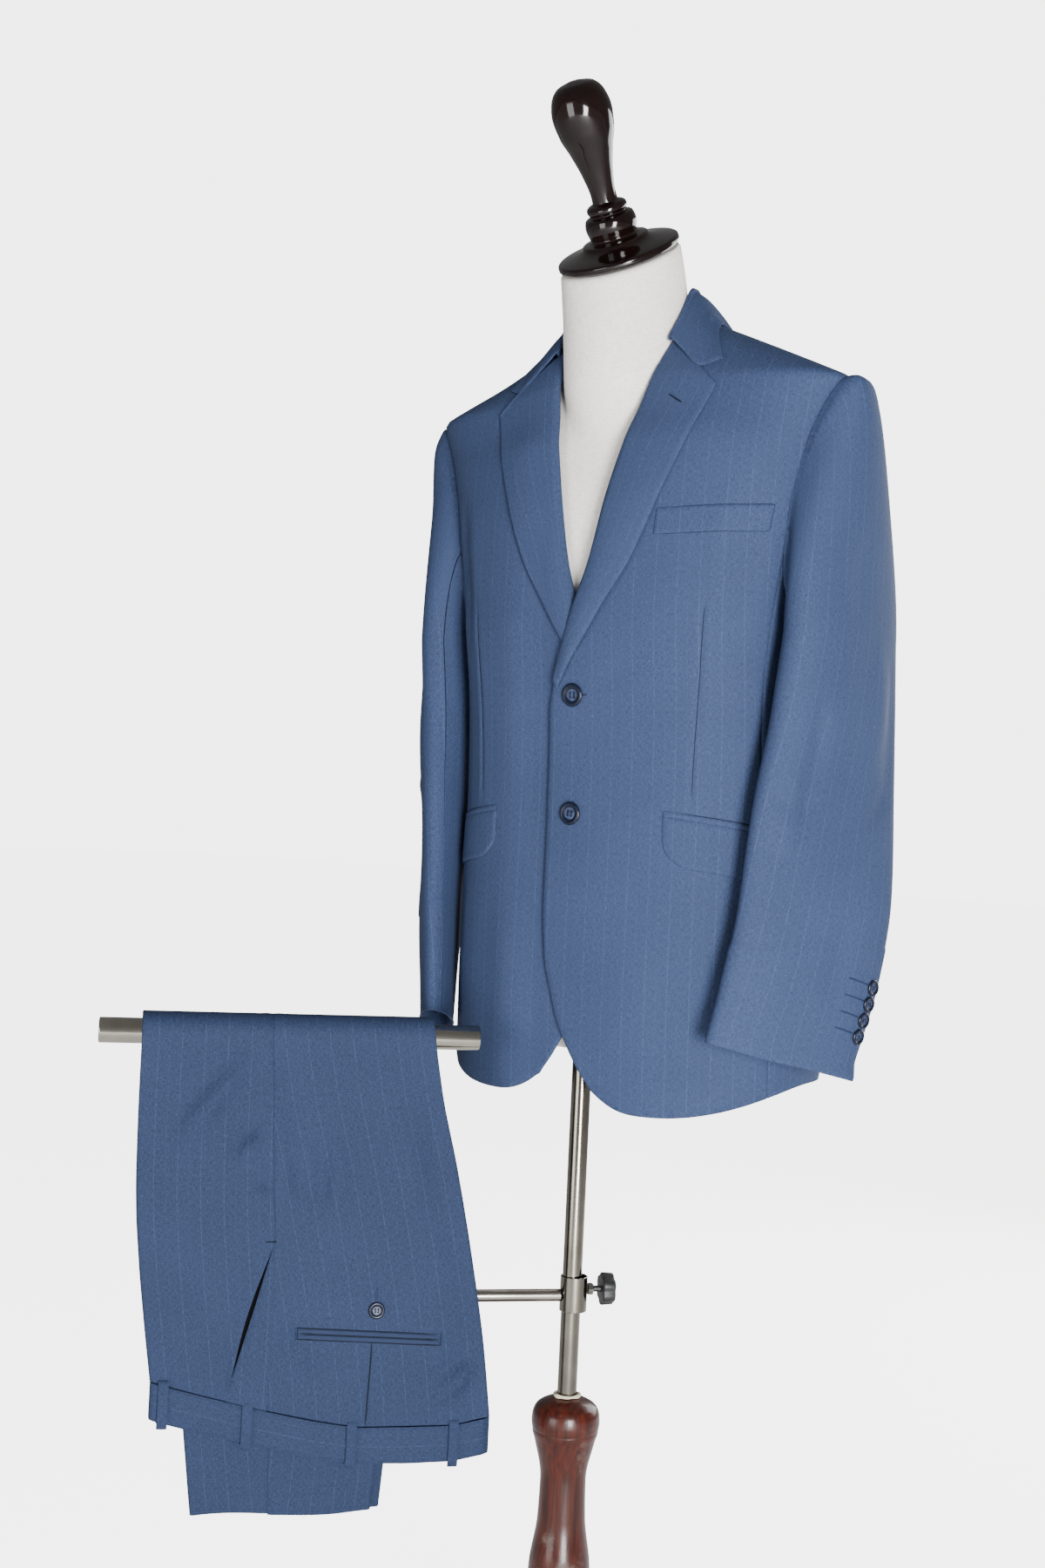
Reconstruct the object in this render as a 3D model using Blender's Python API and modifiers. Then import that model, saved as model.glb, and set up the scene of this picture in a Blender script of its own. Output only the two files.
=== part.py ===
"""Two-piece suit: a jacket on a dress form, and the trousers over the stand's rail.

Metres, +Z up. The origin is on the floor under the pole. The jacket faces -Y and the
wearer's left is +X. The rail swings about the pole, and the hand knob turns in its clamp.
"""
import math

import bmesh
import bpy
from mathutils import Matrix, Vector
from mathutils.bvhtree import BVHTree

# cloth and gaps
CLOTH = 0.0015
TROUSER_CLOTH = 0.0012
SEAM = 0.0003
SQUARENESS = 2.3

# the jacket's sections, hem to neck: height, half width, depth before and behind the widest line, its y
JACKET = (
    # z      half   front  back   mid
    (0.640, 0.197, 0.128, 0.133, 0.095),
    (0.740, 0.196, 0.130, 0.133, 0.092),
    (0.850, 0.192, 0.123, 0.130, 0.083),
    (0.950, 0.185, 0.110, 0.125, 0.070),
    (1.060, 0.180, 0.098, 0.120, 0.053),
    (1.150, 0.186, 0.100, 0.125, 0.047),
    (1.240, 0.200, 0.097, 0.130, 0.047),
    (1.310, 0.212, 0.088, 0.130, 0.048),
    (1.350, 0.224, 0.073, 0.125, 0.048),
    (1.375, 0.233, 0.066, 0.112, 0.049),
    (1.400, 0.178, 0.060, 0.090, 0.055),
    (1.425, 0.124, 0.052, 0.068, 0.061),
    (1.445, 0.080, 0.044, 0.050, 0.066),
)
TIP_Z = 1.375
NECK_Z = 1.445

# the dress form's sections: a broad body, and a neck that rises from it and leans forward
FORM_BODY = (
    # z      half   front  back   mid
    (0.720, 0.140, 0.080, 0.092, 0.070),
    (0.745, 0.160, 0.092, 0.106, 0.072),
    (0.850, 0.172, 0.098, 0.108, 0.070),
    (0.950, 0.167, 0.090, 0.102, 0.062),
    (1.060, 0.160, 0.082, 0.094, 0.051),
    (1.150, 0.166, 0.084, 0.098, 0.046),
    (1.240, 0.180, 0.080, 0.108, 0.046),
    (1.310, 0.190, 0.070, 0.108, 0.047),
    (1.350, 0.198, 0.056, 0.098, 0.048),
    (1.375, 0.188, 0.048, 0.088, 0.050),
    (1.400, 0.146, 0.040, 0.070, 0.054),
    (1.418, 0.100, 0.034, 0.056, 0.056),
    (1.436, 0.050, 0.030, 0.040, 0.050),
    (1.500, 0.040, 0.030, 0.030, 0.020),
)
FORM_NECK = (
    # z      radius  mid    lean
    (1.290, 0.0380, 0.030, 0.0),
    (1.340, 0.0540, 0.027, 0.0),
    (1.380, 0.0610, 0.022, 0.0),
    (1.410, 0.0625, 0.021, 2.0),
    (1.440, 0.0632, 0.019, 10.0),
    (1.470, 0.0630, 0.013, 23.0),
    (1.506, 0.0615, 0.002, 33.5),
)
NECK_BLEND = 14.0
FINIAL_LEAN = 34.5

# the front edge of the left front, from the cutaway hem to the top button: height, x
FRONT_EDGE = (
    # z      x
    (0.666, 0.048),
    (0.686, 0.033),
    (0.708, 0.0156),
    (0.745, -0.005),
    (0.777, -0.0153),
    (0.811, -0.0242),
    (0.856, -0.0277),
    (0.950, -0.0280),
    (1.050, -0.0280),
    (1.075, -0.0240),
)
# the roll line, where the lapel folds back, from the top button to the neck: height, x
ROLL = (
    # z      x
    (1.075, -0.0240),
    (1.147, 0.0000),
    (1.193, 0.0163),
    (1.260, 0.0310),
    (1.330, 0.0470),
    (1.410, 0.0640),
    (1.445, 0.0715),
)
# the lapel's outer edge for heights on the roll line
LAPEL = (
    # roll_z outer_x  outer_z lift
    (1.080, -0.0180, 1.073, 0.0000),
    (1.120, -0.0015, 1.100, 0.0020),
    (1.170, 0.0157, 1.124, 0.0035),
    (1.220, 0.0348, 1.154, 0.0035),
    (1.270, 0.0590, 1.193, 0.0028),
    (1.325, 0.0890, 1.268, 0.0014),
    (1.375, 0.1090, 1.322, 0.0006),
    (1.4174, 0.1240, 1.3645, 0.0000),
)
# the collar, from a gorge to the centre back: foot of the stand, fold, and leaf edge on the jacket
COLLAR = (
    # foot x  y       z       fold x  y       z       leaf_deg leaf_z
    (0.0622, -0.0045, 1.4165, 0.0620, -0.0065, 1.4185, 0.0, 0.0),
    (0.0700, 0.0130, 1.4350, 0.0685, 0.0100, 1.4420, 57.0, 1.4295),
    (0.0700, 0.0560, 1.4500, 0.0590, 0.0500, 1.4800, 90.0, 1.4430),
    (0.0560, 0.0850, 1.4480, 0.0490, 0.0770, 1.4840, 122.0, 1.4400),
    (0.0330, 0.1030, 1.4470, 0.0280, 0.0930, 1.4850, 150.0, 1.4385),
    (0.0000, 0.1090, 1.4470, 0.0000, 0.0980, 1.4850, 180.0, 1.4375),
)
LEAF_LIFT = 0.0016
RIGHT_LAPEL_LOW = 1.118
RIGHT_LEAF_RISE = 1.28
COLLAR_CORNER = (0.1250, 1.3915)
NOTCH = (0.1020, 1.3838)

HEM_LOW = 0.666
HEM_SIDE_RISE = 0.034
RIGHT_HEM_RISE = 0.009
SEAM_FRONT = (68.0, 75.0)
SEAM_BACK = (116.0, 113.0)
SEAM_TOP = 1.220
SIDE_TOP_GAP = 0.0028
OVERLAP_SINK = 0.0062
RIGHT_DROP = 0.012
RIGHT_IN = 0.006

# the armhole: its middle height, half height, and its reach before and behind the side, in degrees
ARM_Z = 1.2675
ARM_HALF = 0.1075
ARM_FRONT = 16.0
ARM_BACK = 24.0
ARM_SHAPE = 0.6

# the left sleeve, armpit to cuff: height, centre x and y, half length, half thickness, turn from X
SLEEVE = (
    # z      x       y      long   short  turn
    (1.130, 0.2220, 0.078, 0.086, 0.030, 84.0),
    (1.060, 0.2205, 0.075, 0.087, 0.029, 79.0),
    (0.980, 0.2205, 0.063, 0.087, 0.025, 71.0),
    (0.880, 0.2215, 0.050, 0.085, 0.0205, 62.0),
    (0.800, 0.2145, 0.037, 0.083, 0.0185, 58.0),
    (0.727, 0.2025, 0.021, 0.080, 0.016, 56.0),
)
CUFF_DROP = 0.036
SLEEVE_CAP = 0.034
ARM_INSET = 0.80
SLEEVE_INSET = 0.0013
SLEEVE_CLEAR = (0.0024, 0.0036)
TOP_SLEEVE = (-112.0, 112.0)

# buttons
FRONT_BUTTON_R = 0.0115
FRONT_BUTTONS_Z = (1.066, 0.951)
CUFF_BUTTON_R = 0.0078
CUFF_BUTTON_COUNT = 4
CUFF_BUTTON_STEP = 0.0154
CUFF_BUTTON_RISE = 0.0255
CUFF_BUTTON_ANGLE = 58.0
CUFF_BUTTON_LIFT = 0.0005

# pockets on the jacket: angles from front to side, top height at the front end, drop to the side end
WELT = (21.2, 64.0, 1.2435, -0.0050, 0.0245)
FLAP = (28.0, 91.0, 0.9510, 0.0180, 0.0455)
JET_HEIGHT = 0.0055
FLAP_CORNER = 0.024
PATCH_LIFT = 0.0014

# stand
POLE_R = 0.0095
FORM_FLOOR_Z = 0.720
POST_TOP_Z = 0.3793
RING_R = 0.0138
POST = (
    # r      z
    (0.0120, 0.379),
    (0.0230, 0.375),
    (0.0322, 0.366),
    (0.0335, 0.356),
    (0.0300, 0.338),
    (0.0225, 0.300),
    (0.0236, 0.262),
    (0.0298, 0.218),
    (0.0335, 0.150),
    (0.0360, 0.090),
    (0.0360, 0.0423),
)
FOOT = (
    # r      z
    (0.0560, 0.042),
    (0.0620, 0.038),
    (0.1200, 0.030),
    (0.1850, 0.024),
    (0.1980, 0.018),
    (0.2000, 0.008),
    (0.1970, 0.000),
)
FINIAL = (
    # r      distance from the neck's top
    (0.0060, 0.1735),
    (0.0175, 0.1702),
    (0.0262, 0.1598),
    (0.0296, 0.1437),
    (0.0276, 0.1267),
    (0.0213, 0.1068),
    (0.0155, 0.0850),
    (0.0125, 0.0643),
    (0.0128, 0.0580),
    (0.0190, 0.0545),
    (0.0200, 0.0505),
    (0.0190, 0.0468),
    (0.0240, 0.0430),
    (0.0258, 0.0352),
    (0.0240, 0.0255),
    (0.0250, 0.0222),
    (0.0330, 0.0198),
    (0.0345, 0.0168),
    (0.0560, 0.0108),
    (0.0615, 0.0080),
    (0.0620, 0.0050),
    (0.0590, 0.0018),
    (0.0500, 0.0004),
)

# rail: its line leaves the pole towards the wearer's right and front
RAIL_DIRECTION = math.radians(226.5)
RAIL_Z = 0.728
RAIL_R = 0.0120
RAIL_SPAN = (0.105, 0.467)
RAIL_EDGE = 0.0012
ARM_LINE_Z = 0.478
ARM_R = 0.006
ARM_UPRIGHT = 0.286
CLAMP_OUTER = 0.0134
CLAMP_INNER = 0.0118
CLAMP_HALF = 0.017
KNOB_REACH = 0.0285

# the trouser legs along the cloth, waist (negative) over the rail to hem: distances along the rail
LEG = (
    # along  front  back   side
    (-0.400, 0.403, 0.081, 0.2960),
    (-0.320, 0.412, 0.091, 0.2950),
    (-0.240, 0.420, 0.105, 0.2950),
    (-0.150, 0.426, 0.124, 0.3000),
    (-0.070, 0.427, 0.143, 0.3040),
    (0.000, 0.427, 0.153, 0.3060),
    (0.070, 0.422, 0.155, 0.3040),
    (0.200, 0.405, 0.164, 0.2980),
    (0.350, 0.377, 0.178, 0.2910),
    (0.500, 0.357, 0.189, 0.2860),
)
WAIST_ALONG = -0.390
FRONT_RISE = (0.205, 0.200, 0.046)
SEAT_RISE = (0.125, 0.050, 0.007)
HEM_ALONG = 0.484
LEG_SHIFT = 0.009
BAR_BEND = 0.0155
LEG_GAP = (0.0005, 0.0042)
SLANT_TOP = (-0.216, 0.2952)
SLANT_WAIST = (-0.372, 0.3310)
BAND_HEIGHT = 0.034
LOOP_WIDTH = 0.0095
LOOPS_ALONG_RAIL = (0.392, 0.3140, 0.2150, 0.1170)
BACK_POCKET = (0.1340, 0.2690, -0.2985, 0.0110)
BACK_BUTTON = (0.1970, -0.2800, 0.0079)

PALETTE = {
    # material: colour, roughness, metallic
    "suiting": ((0.035, 0.075, 0.19, 1), 0.85, 0.0),
    "form_cotton": ((0.72, 0.69, 0.63, 1), 0.9, 0.0),
    "lacquered_wood": ((0.012, 0.006, 0.005, 1), 0.15, 0.0),
    "post_wood": ((0.14, 0.030, 0.014, 1), 0.35, 0.0),
    "nickel_steel": ((0.60, 0.58, 0.54, 1), 0.22, 1.0),
    "knob_plastic": ((0.02, 0.02, 0.022, 1), 0.5, 0.0),
    "button_resin": ((0.012, 0.018, 0.045, 1), 0.2, 0.0),
}


def clear_scene():
    for obj in list(bpy.data.objects):
        bpy.data.objects.remove(obj, do_unlink=True)


def material(name):
    found = bpy.data.materials.get(name)
    if found:
        return found
    color, roughness, metallic = PALETTE[name]
    made = bpy.data.materials.new(name)
    made.use_nodes = True
    shader = made.node_tree.nodes["Principled BSDF"]
    shader.inputs["Base Color"].default_value = color
    shader.inputs["Roughness"].default_value = roughness
    shader.inputs["Metallic"].default_value = metallic
    made.diffuse_color = color
    return made


def add_object(name, data, finish):
    obj = bpy.data.objects.new(name, data)
    bpy.data.collections["two_piece_suit"].objects.link(obj)
    data.materials.append(material(finish))
    return obj


# interpolation ------------------------------------------------------------

def mix(a, b, t):
    return a + (b - a) * t


def smooth(t):
    t = max(0.0, min(1.0, t))
    return t * t * (3 - 2 * t)


def along_table(rows, key, column):
    """A smooth value of one column at a key in the first column, without overshoot."""
    keys = [row[0] for row in rows]
    if keys[0] > keys[-1]:
        rows = rows[::-1]
        keys = keys[::-1]
    key = max(keys[0], min(keys[-1], key))
    i = max(0, min(len(keys) - 2, sum(k <= key for k in keys) - 1))
    slopes = [
        (rows[j + 1][column] - rows[j][column]) / (keys[j + 1] - keys[j])
        for j in range(len(rows) - 1)
    ]

    def tangent(j):
        if j == 0:
            return slopes[0]
        if j == len(rows) - 1:
            return slopes[-1]
        if slopes[j - 1] * slopes[j] <= 0:
            return 0.0
        return 2 * slopes[j - 1] * slopes[j] / (slopes[j - 1] + slopes[j])

    width = keys[i + 1] - keys[i]
    t = (key - keys[i]) / width
    return (
        (1 + 2 * t) * (1 - t) ** 2 * rows[i][column]
        + t * (1 - t) ** 2 * width * tangent(i)
        + t * t * (3 - 2 * t) * rows[i + 1][column]
        + t * t * (t - 1) * width * tangent(i + 1)
    )


# the jacket's surface -----------------------------------------------------

def power(value, exponent):
    return math.copysign(abs(value) ** exponent, value)


def jacket_ring(z):
    """Half width, front depth, back depth and mid y of the jacket at a height."""
    if TIP_Z <= z:
        t = (z - TIP_Z) / (NECK_Z - TIP_Z)
        half = mix(JACKET[9][1], JACKET[12][1], t) + 0.006 * t * (1 - t)
    elif z > JACKET[7][0]:
        t = (z - JACKET[7][0]) / (TIP_Z - JACKET[7][0])
        half = mix(JACKET[7][1], JACKET[9][1], t ** 1.3)
    else:
        half = along_table(JACKET[:8], z, 1)
    return half, along_table(JACKET, z, 2), along_table(JACKET, z, 3), along_table(JACKET, z, 4)


def on_jacket(degrees, z):
    """A point of the jacket's inner surface; 0 is the front, 90 the wearer's left, 180 the back."""
    half, front, back, mid = jacket_ring(z)
    angle = math.radians(degrees)
    depth = front if math.cos(angle) > 0 else back
    x = half * power(math.sin(angle), 2 / SQUARENESS)
    y = mid - depth * power(math.cos(angle), 2 / SQUARENESS)
    return Vector((x, y, z))


def front_angle(x, z):
    """The angle at which the jacket's front has this x."""
    half = jacket_ring(z)[0]
    share = min(1.0, abs(x) / half)
    return math.copysign(math.degrees(math.asin(share ** (SQUARENESS / 2))), x)


def jacket_normal(degrees, z):
    step = 0.5
    rise = 0.002
    across = on_jacket(degrees + step, z) - on_jacket(degrees - step, z)
    upward = on_jacket(degrees, min(z + rise, NECK_Z)) - on_jacket(degrees, z - rise)
    return across.cross(upward).normalized()


def lifted(degrees, z, lift):
    return on_jacket(degrees, z) + jacket_normal(degrees, z) * lift


def sink(x, z):
    """How far the right front drops under the left one near the overlap."""
    return OVERLAP_SINK * smooth((x + 0.085) / 0.05) * smooth((1.42 - z) / 0.12)


def hem_z(degrees):
    """The hem: lowest before each side, rising to the sides and the back."""
    away = smooth((abs(degrees) - 24) / 70)
    return HEM_LOW + HEM_SIDE_RISE * away


def arm_angle(turn):
    """The armhole's place round the body at a turn from its top, front negative."""
    reach = ARM_FRONT if math.sin(turn) < 0 else ARM_BACK
    return 90 + reach * power(math.sin(turn), ARM_SHAPE)


def arm_edge(z, reach):
    """How far the armhole stands from the side at a height, in degrees."""
    cosine = max(-1.0, min(1.0, (z - ARM_Z) / ARM_HALF))
    return reach * math.sqrt(1 - cosine * cosine) ** ARM_SHAPE


def side_edge(z, seam, reach, sign):
    """The outer edge of a front or back: side seam, then armhole, then shoulder seam."""
    if z < SEAM_TOP:
        t = smooth((z - 0.9) / (SEAM_TOP - 0.9))
        return mix(seam[0], 90 + sign * arm_edge(SEAM_TOP, reach), t)
    if z < TIP_Z:
        return 90 + sign * arm_edge(z, reach)
    return 90.0


# building shells ------------------------------------------------------------

def sheet_object(name, columns, rows, place, wall, finish="suiting", side=1.0):
    """A shell over a grid whose points are place(u, v); the wall grows to the given side."""
    bm = bmesh.new()
    bmesh.ops.create_grid(bm, x_segments=columns, y_segments=rows, size=0.5)
    for vert in bm.verts:
        vert.co = place(vert.co.x + 0.5, vert.co.y + 0.5)
    mesh = bpy.data.meshes.new(name)
    bm.to_mesh(mesh)
    bm.free()
    mesh.shade_smooth()
    obj = add_object(name, mesh, finish)
    wall_modifier = obj.modifiers.new("wall", "SOLIDIFY")
    wall_modifier.thickness = wall
    wall_modifier.offset = side
    wall_modifier.use_even_offset = True
    return obj


def to_right(point):
    """The same place on the wearer's right, where the shoulder sits lower."""
    drop = RIGHT_DROP * smooth((point.z - 1.05) / 0.30) * smooth((abs(point.x) - 0.04) / 0.12)
    inward = RIGHT_IN * smooth((point.x - 0.10) / 0.10) * smooth((1.37 - point.z) / 0.10)
    return Vector((inward - point.x, point.y, point.z - drop))


def mirrored(place):
    """The same piece on the wearer's right."""
    return lambda u, v: to_right(place(1 - u, v))


def panel_rise(v):
    """Rows of a front or back lie closer towards the shoulder, where it curves most."""
    return 1 - (1 - v) ** 1.35


def front_panel(u, v, is_right=False):
    bottom = 0.686
    z = mix(bottom, NECK_Z - 0.001, panel_rise(v))
    inner_x = along_table(ROLL, z, 1) if z > ROLL[0][0] else along_table(FRONT_EDGE, z, 1)
    inner = front_angle(inner_x, z)
    outer = side_edge(z, SEAM_FRONT, ARM_FRONT, -1) - seam_degrees(z)
    degrees = mix(inner, outer, u)
    z += (hem_z(degrees) - HEM_LOW - (bottom - HEM_LOW)) * (1 - v) ** 3 * smooth(u / 0.22)
    point = on_jacket(degrees, z)
    if is_right:
        point += jacket_normal(degrees, z) * -sink(-point.x, z)
        point.z += RIGHT_HEM_RISE * (1 - v) ** 3
    return point


def seam_degrees(z):
    """Half a seam's gap as an angle, wider where the ridge of the shoulder turns."""
    if z < TIP_Z - 0.02:
        return 0.12
    return mix(0.12, 0.55, smooth((z - TIP_Z + 0.02) / 0.03))


def side_panel(u, v):
    low = mix(SEAM_FRONT[0], SEAM_BACK[0], u)
    front_top = 90 - arm_edge(SEAM_TOP, ARM_FRONT)
    back_top = 90 + arm_edge(SEAM_TOP, ARM_BACK)
    high = mix(front_top, back_top, u)
    reach = ARM_FRONT if high < 90 else ARM_BACK
    share = (abs(high - 90) / reach) ** (1 / ARM_SHAPE)
    top = ARM_Z - ARM_HALF * math.sqrt(max(0.0, 1 - share * share)) - SIDE_TOP_GAP
    z = mix(hem_z(low), top, v)
    edge = smooth((z - 0.9) / (SEAM_TOP - 0.9))
    degrees = mix(low, high, edge)
    return on_jacket(degrees + mix(0.12, -0.12, u), z)


def back_panel(u, v):
    z = mix(HEM_LOW + HEM_SIDE_RISE, NECK_Z - 0.001, panel_rise(v))
    outer = side_edge(z, SEAM_BACK, ARM_BACK, 1) + seam_degrees(z)
    return on_jacket(mix(outer, 179.93, u), z)


def make_body():
    for side, wrap in (("left", lambda place: place), ("right", mirrored)):
        right = side == "right"
        sheet_object(f"jacket_front_{side}", 9, 17,
                     wrap(lambda u, v, r=right: front_panel(u, v, r)), CLOTH)
        sheet_object(f"jacket_side_{side}", 5, 11, wrap(side_panel), CLOTH)
        sheet_object(f"jacket_back_{side}", 7, 14, wrap(back_panel), CLOTH)


def outer_surface(*names):
    """The finished outer faces of some pieces, for laying others on them."""
    bpy.context.view_layer.update()
    graph = bpy.context.evaluated_depsgraph_get()
    verts = []
    faces = []
    for name in names:
        mesh = bpy.data.objects[name].evaluated_get(graph).to_mesh()
        faces += [[i + len(verts) for i in face.vertices] for face in mesh.polygons]
        verts += [vert.co.copy() for vert in mesh.vertices]
    return BVHTree.FromPolygons(verts, faces)


def on_cloth(tree, degrees, z, lift, drop=0.0):
    """A point this far above the cloth at a place of the jacket; drop serves past the cloth's edge."""
    normal = jacket_normal(degrees, z)
    hit = tree.ray_cast(on_jacket(degrees, z) + normal * 0.05, -normal, 0.10)[0]
    return lifted(degrees, z, CLOTH + lift - drop) if hit is None else hit + normal * lift


def lapel_place(u, v, low):
    """Where the left lapel lies: x, z and its rise, from the roll line (u 0) to its edge (u 1)."""
    roll_z = mix(low, LAPEL[-1][0], v)
    x = mix(along_table(ROLL, roll_z, 1) - 0.0012, along_table(LAPEL, roll_z, 1), u)
    z = mix(roll_z, along_table(LAPEL, roll_z, 2), u)
    return x, z, along_table(LAPEL, roll_z, 3) * math.sin(math.pi * u * 0.75)


def left_lapel(tree, u, v):
    x, z, rise = lapel_place(u, v, LAPEL[0][0])
    return on_cloth(tree, front_angle(x, z), z, LEAF_LIFT + rise)


def right_lapel(tree, u, v):
    """The right lapel goes under the left front where they cross."""
    x, z, _ = lapel_place(1 - u, v, RIGHT_LAPEL_LOW)
    return on_cloth(tree, front_angle(-x, z), z, LEAF_LIFT * RIGHT_LEAF_RISE, sink(-x, z))


def collar_row(station):
    """Foot, fold and leaf edge of the collar at a station, 0 at a gorge and 1 at the centre back."""
    place = station * (len(COLLAR) - 1)
    rows = [(i,) + row for i, row in enumerate(COLLAR)]
    values = [along_table(rows, place, column) for column in range(1, 9)]
    foot = Vector(values[0:3])
    fold = Vector(values[3:6])
    if place < 1:
        degrees = mix(front_angle(*COLLAR_CORNER), COLLAR[1][6], place)
        height = mix(COLLAR_CORNER[1], COLLAR[1][7], place)
    else:
        degrees = values[6]
        height = values[7]
    return foot, fold, lifted(degrees, height, CLOTH + LEAF_LIFT)


def angle_of(point):
    """The angle round the body at which a point lies."""
    half, _, _, mid = jacket_ring(point.z)
    share = min(1.0, abs(point.x) / half)
    degrees = math.degrees(math.asin(share ** (SQUARENESS / 2)))
    if point.y > mid:
        degrees = 180 - degrees
    return math.copysign(degrees, point.x)


def above_cloth(tree, point, lift):
    """The point itself, or raised to lie at least this far above the cloth under it."""
    if point.z > NECK_Z - 0.002:
        return point
    normal = jacket_normal(angle_of(point), point.z)
    hit = tree.ray_cast(point + normal * 0.05, -normal, 0.10)[0]
    if hit is None:
        return point
    short = lift - (point - hit).dot(normal)
    return point + normal * max(0.0, short)


def collar(tree, u, v):
    """u runs from the right gorge round the back to the left one, v from leaf edge to stand."""
    station = 1 - abs(2 * u - 1)
    foot, fold, leaf = collar_row(station)
    outward = Vector((leaf.x - fold.x, leaf.y - fold.y, 0)).normalized()
    turn = min(1.0, station * 5)
    notch = lifted(front_angle(*NOTCH), NOTCH[1], CLOTH + LEAF_LIFT) + Vector((0.0010, 0, 0.0010))
    low = leaf.lerp(fold, 0.36) + outward * 0.0014 * turn + Vector((0, 0, 0.0012 * turn))
    low = notch.lerp(low, smooth(turn))
    high = low.lerp(fold, 0.55) + outward * 0.0010 * turn + Vector((0, 0, 0.0006 * turn))
    points = [
        leaf,
        low,
        high,
        fold + outward * 0.0016 - Vector((0, 0, 0.0022 * turn)),
        fold + Vector((0, 0, 0.0008)),
        fold - outward * 0.0012 - Vector((0, 0, 0.0026 * turn)),
        foot,
    ]
    point = points[min(len(points) - 1, round(v * (len(points) - 1)))]
    if v < 0.45:
        point = above_cloth(tree, point, LEAF_LIFT * 1.3)
    return to_right(point) if u < 0.5 else point


def make_lapels():
    left = outer_surface("jacket_front_left", "jacket_back_left")
    right = outer_surface("jacket_front_right")
    sheet_object("lapel_left", 5, 12, lambda u, v: left_lapel(left, u, v), CLOTH)
    sheet_object("lapel_right", 5, 12, lambda u, v: right_lapel(right, u, v), CLOTH)
    sheet_object("collar", 22, 6, lambda u, v: collar(left, u, v), CLOTH, side=-1.0)


# sleeves ------------------------------------------------------------------

def sleeve_section(turn, z):
    """A point of the left sleeve's inner surface; turn 0 faces out, 90 is the back edge."""
    center = Vector((along_table(SLEEVE, z, 1), along_table(SLEEVE, z, 2), z))
    length = along_table(SLEEVE, z, 3)
    thickness = along_table(SLEEVE, z, 4)
    heading = math.radians(along_table(SLEEVE, z, 5))
    lengthwise = Vector((math.cos(heading), math.sin(heading), 0))
    outward = Vector((math.sin(heading), -math.cos(heading), 0))
    angle = math.radians(turn)
    spot = center + lengthwise * length * power(math.sin(angle), 0.92)
    return spot + outward * thickness * power(math.cos(angle), 0.92)


def sleeve(turn, v):
    """The left sleeve from its cuff (v 0) to the armhole (v 1)."""
    top_z = SLEEVE[0][0]
    cuff_z = SLEEVE[-1][0]
    cap_share = 0.30
    back = math.sin(math.radians(turn))
    if v < 1 - cap_share:
        t = v / (1 - cap_share)
        z = mix(cuff_z - 0.5 * CUFF_DROP * back, top_z, t)
        point = sleeve_section(turn, max(cuff_z, z))
        point.z = z
        return point
    t = (v - 1 + cap_share) / cap_share
    start = sleeve_section(turn, top_z)
    angle = math.radians(turn)
    crown = math.cos(angle)
    inset = arm_angle(angle) - 90
    inset -= math.copysign(min(abs(inset), ARM_INSET), inset)
    height = ARM_Z + (ARM_HALF - SLEEVE_INSET) * crown
    clear = SLEEVE_CLEAR[0] + SLEEVE_CLEAR[1] * math.sqrt(max(0.0, -crown))
    end = on_jacket(90 + inset, height) + Vector((clear, 0, 0))
    height = end.z - start.z
    up = max(0.0, height)
    crown = max(0.0, crown)
    first = start + Vector((0, 0, 0.55 * up + 0.004))
    reach = SLEEVE_CAP * (0.25 + 0.75 * crown) * smooth(up / 0.10)
    second = end + Vector((reach, 0, 0.010 * crown))
    return (
        start * (1 - t) ** 3
        + first * 3 * t * (1 - t) ** 2
        + second * 3 * t * t * (1 - t)
        + end * t ** 3
    )


def make_sleeves():
    first, last = TOP_SLEEVE
    gap = 0.35
    pieces = (
        ("top_sleeve", 9, lambda u, v: sleeve(mix(first + gap, last - gap, u), v)),
        ("under_sleeve", 5, lambda u, v: sleeve(mix(last + gap, first + 360 - gap, u), v)),
    )
    for name, columns, place in pieces:
        sheet_object(f"{name}_left", columns, 14, place, CLOTH)
        sheet_object(f"{name}_right", columns, 14, mirrored(place), CLOTH)


# pockets and buttons ------------------------------------------------------

def body_patch(name, tree, patch, columns, rows, corner=0.0, right=False):
    """A piece that lies on the front and side, with one rounded lower corner if asked."""
    first, last, top, drop, height = patch

    def place(u, v):
        degrees = mix(first, last, u)
        tall = height
        share = u * (last - first) / 60 * 0.145
        if share < corner:
            tall -= corner * (1 - math.sqrt(max(0.0, 1 - (1 - share / corner) ** 2)))
        z = top - drop * u - tall * (1 - v)
        return on_cloth(tree, degrees, z, PATCH_LIFT + 0.0008 * math.sin(math.pi * u) * (1 - v))

    return sheet_object(name, columns, rows, mirrored(place) if right else place, 0.0012)


def make_pockets():
    for side in ("left", "right"):
        right = side == "right"
        tree = outer_surface("jacket_front_left", "jacket_side_left")
        first, last, top, drop, height = FLAP
        jet = (first, last, top + JET_HEIGHT + 0.0004, drop, JET_HEIGHT)
        body_patch(f"pocket_jet_{side}", tree, jet, 9, 1, right=right)
        body_patch(f"pocket_flap_{side}", tree, FLAP, 9, 4, FLAP_CORNER, right)
    body_patch("breast_welt", tree, WELT, 6, 2)


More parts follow.
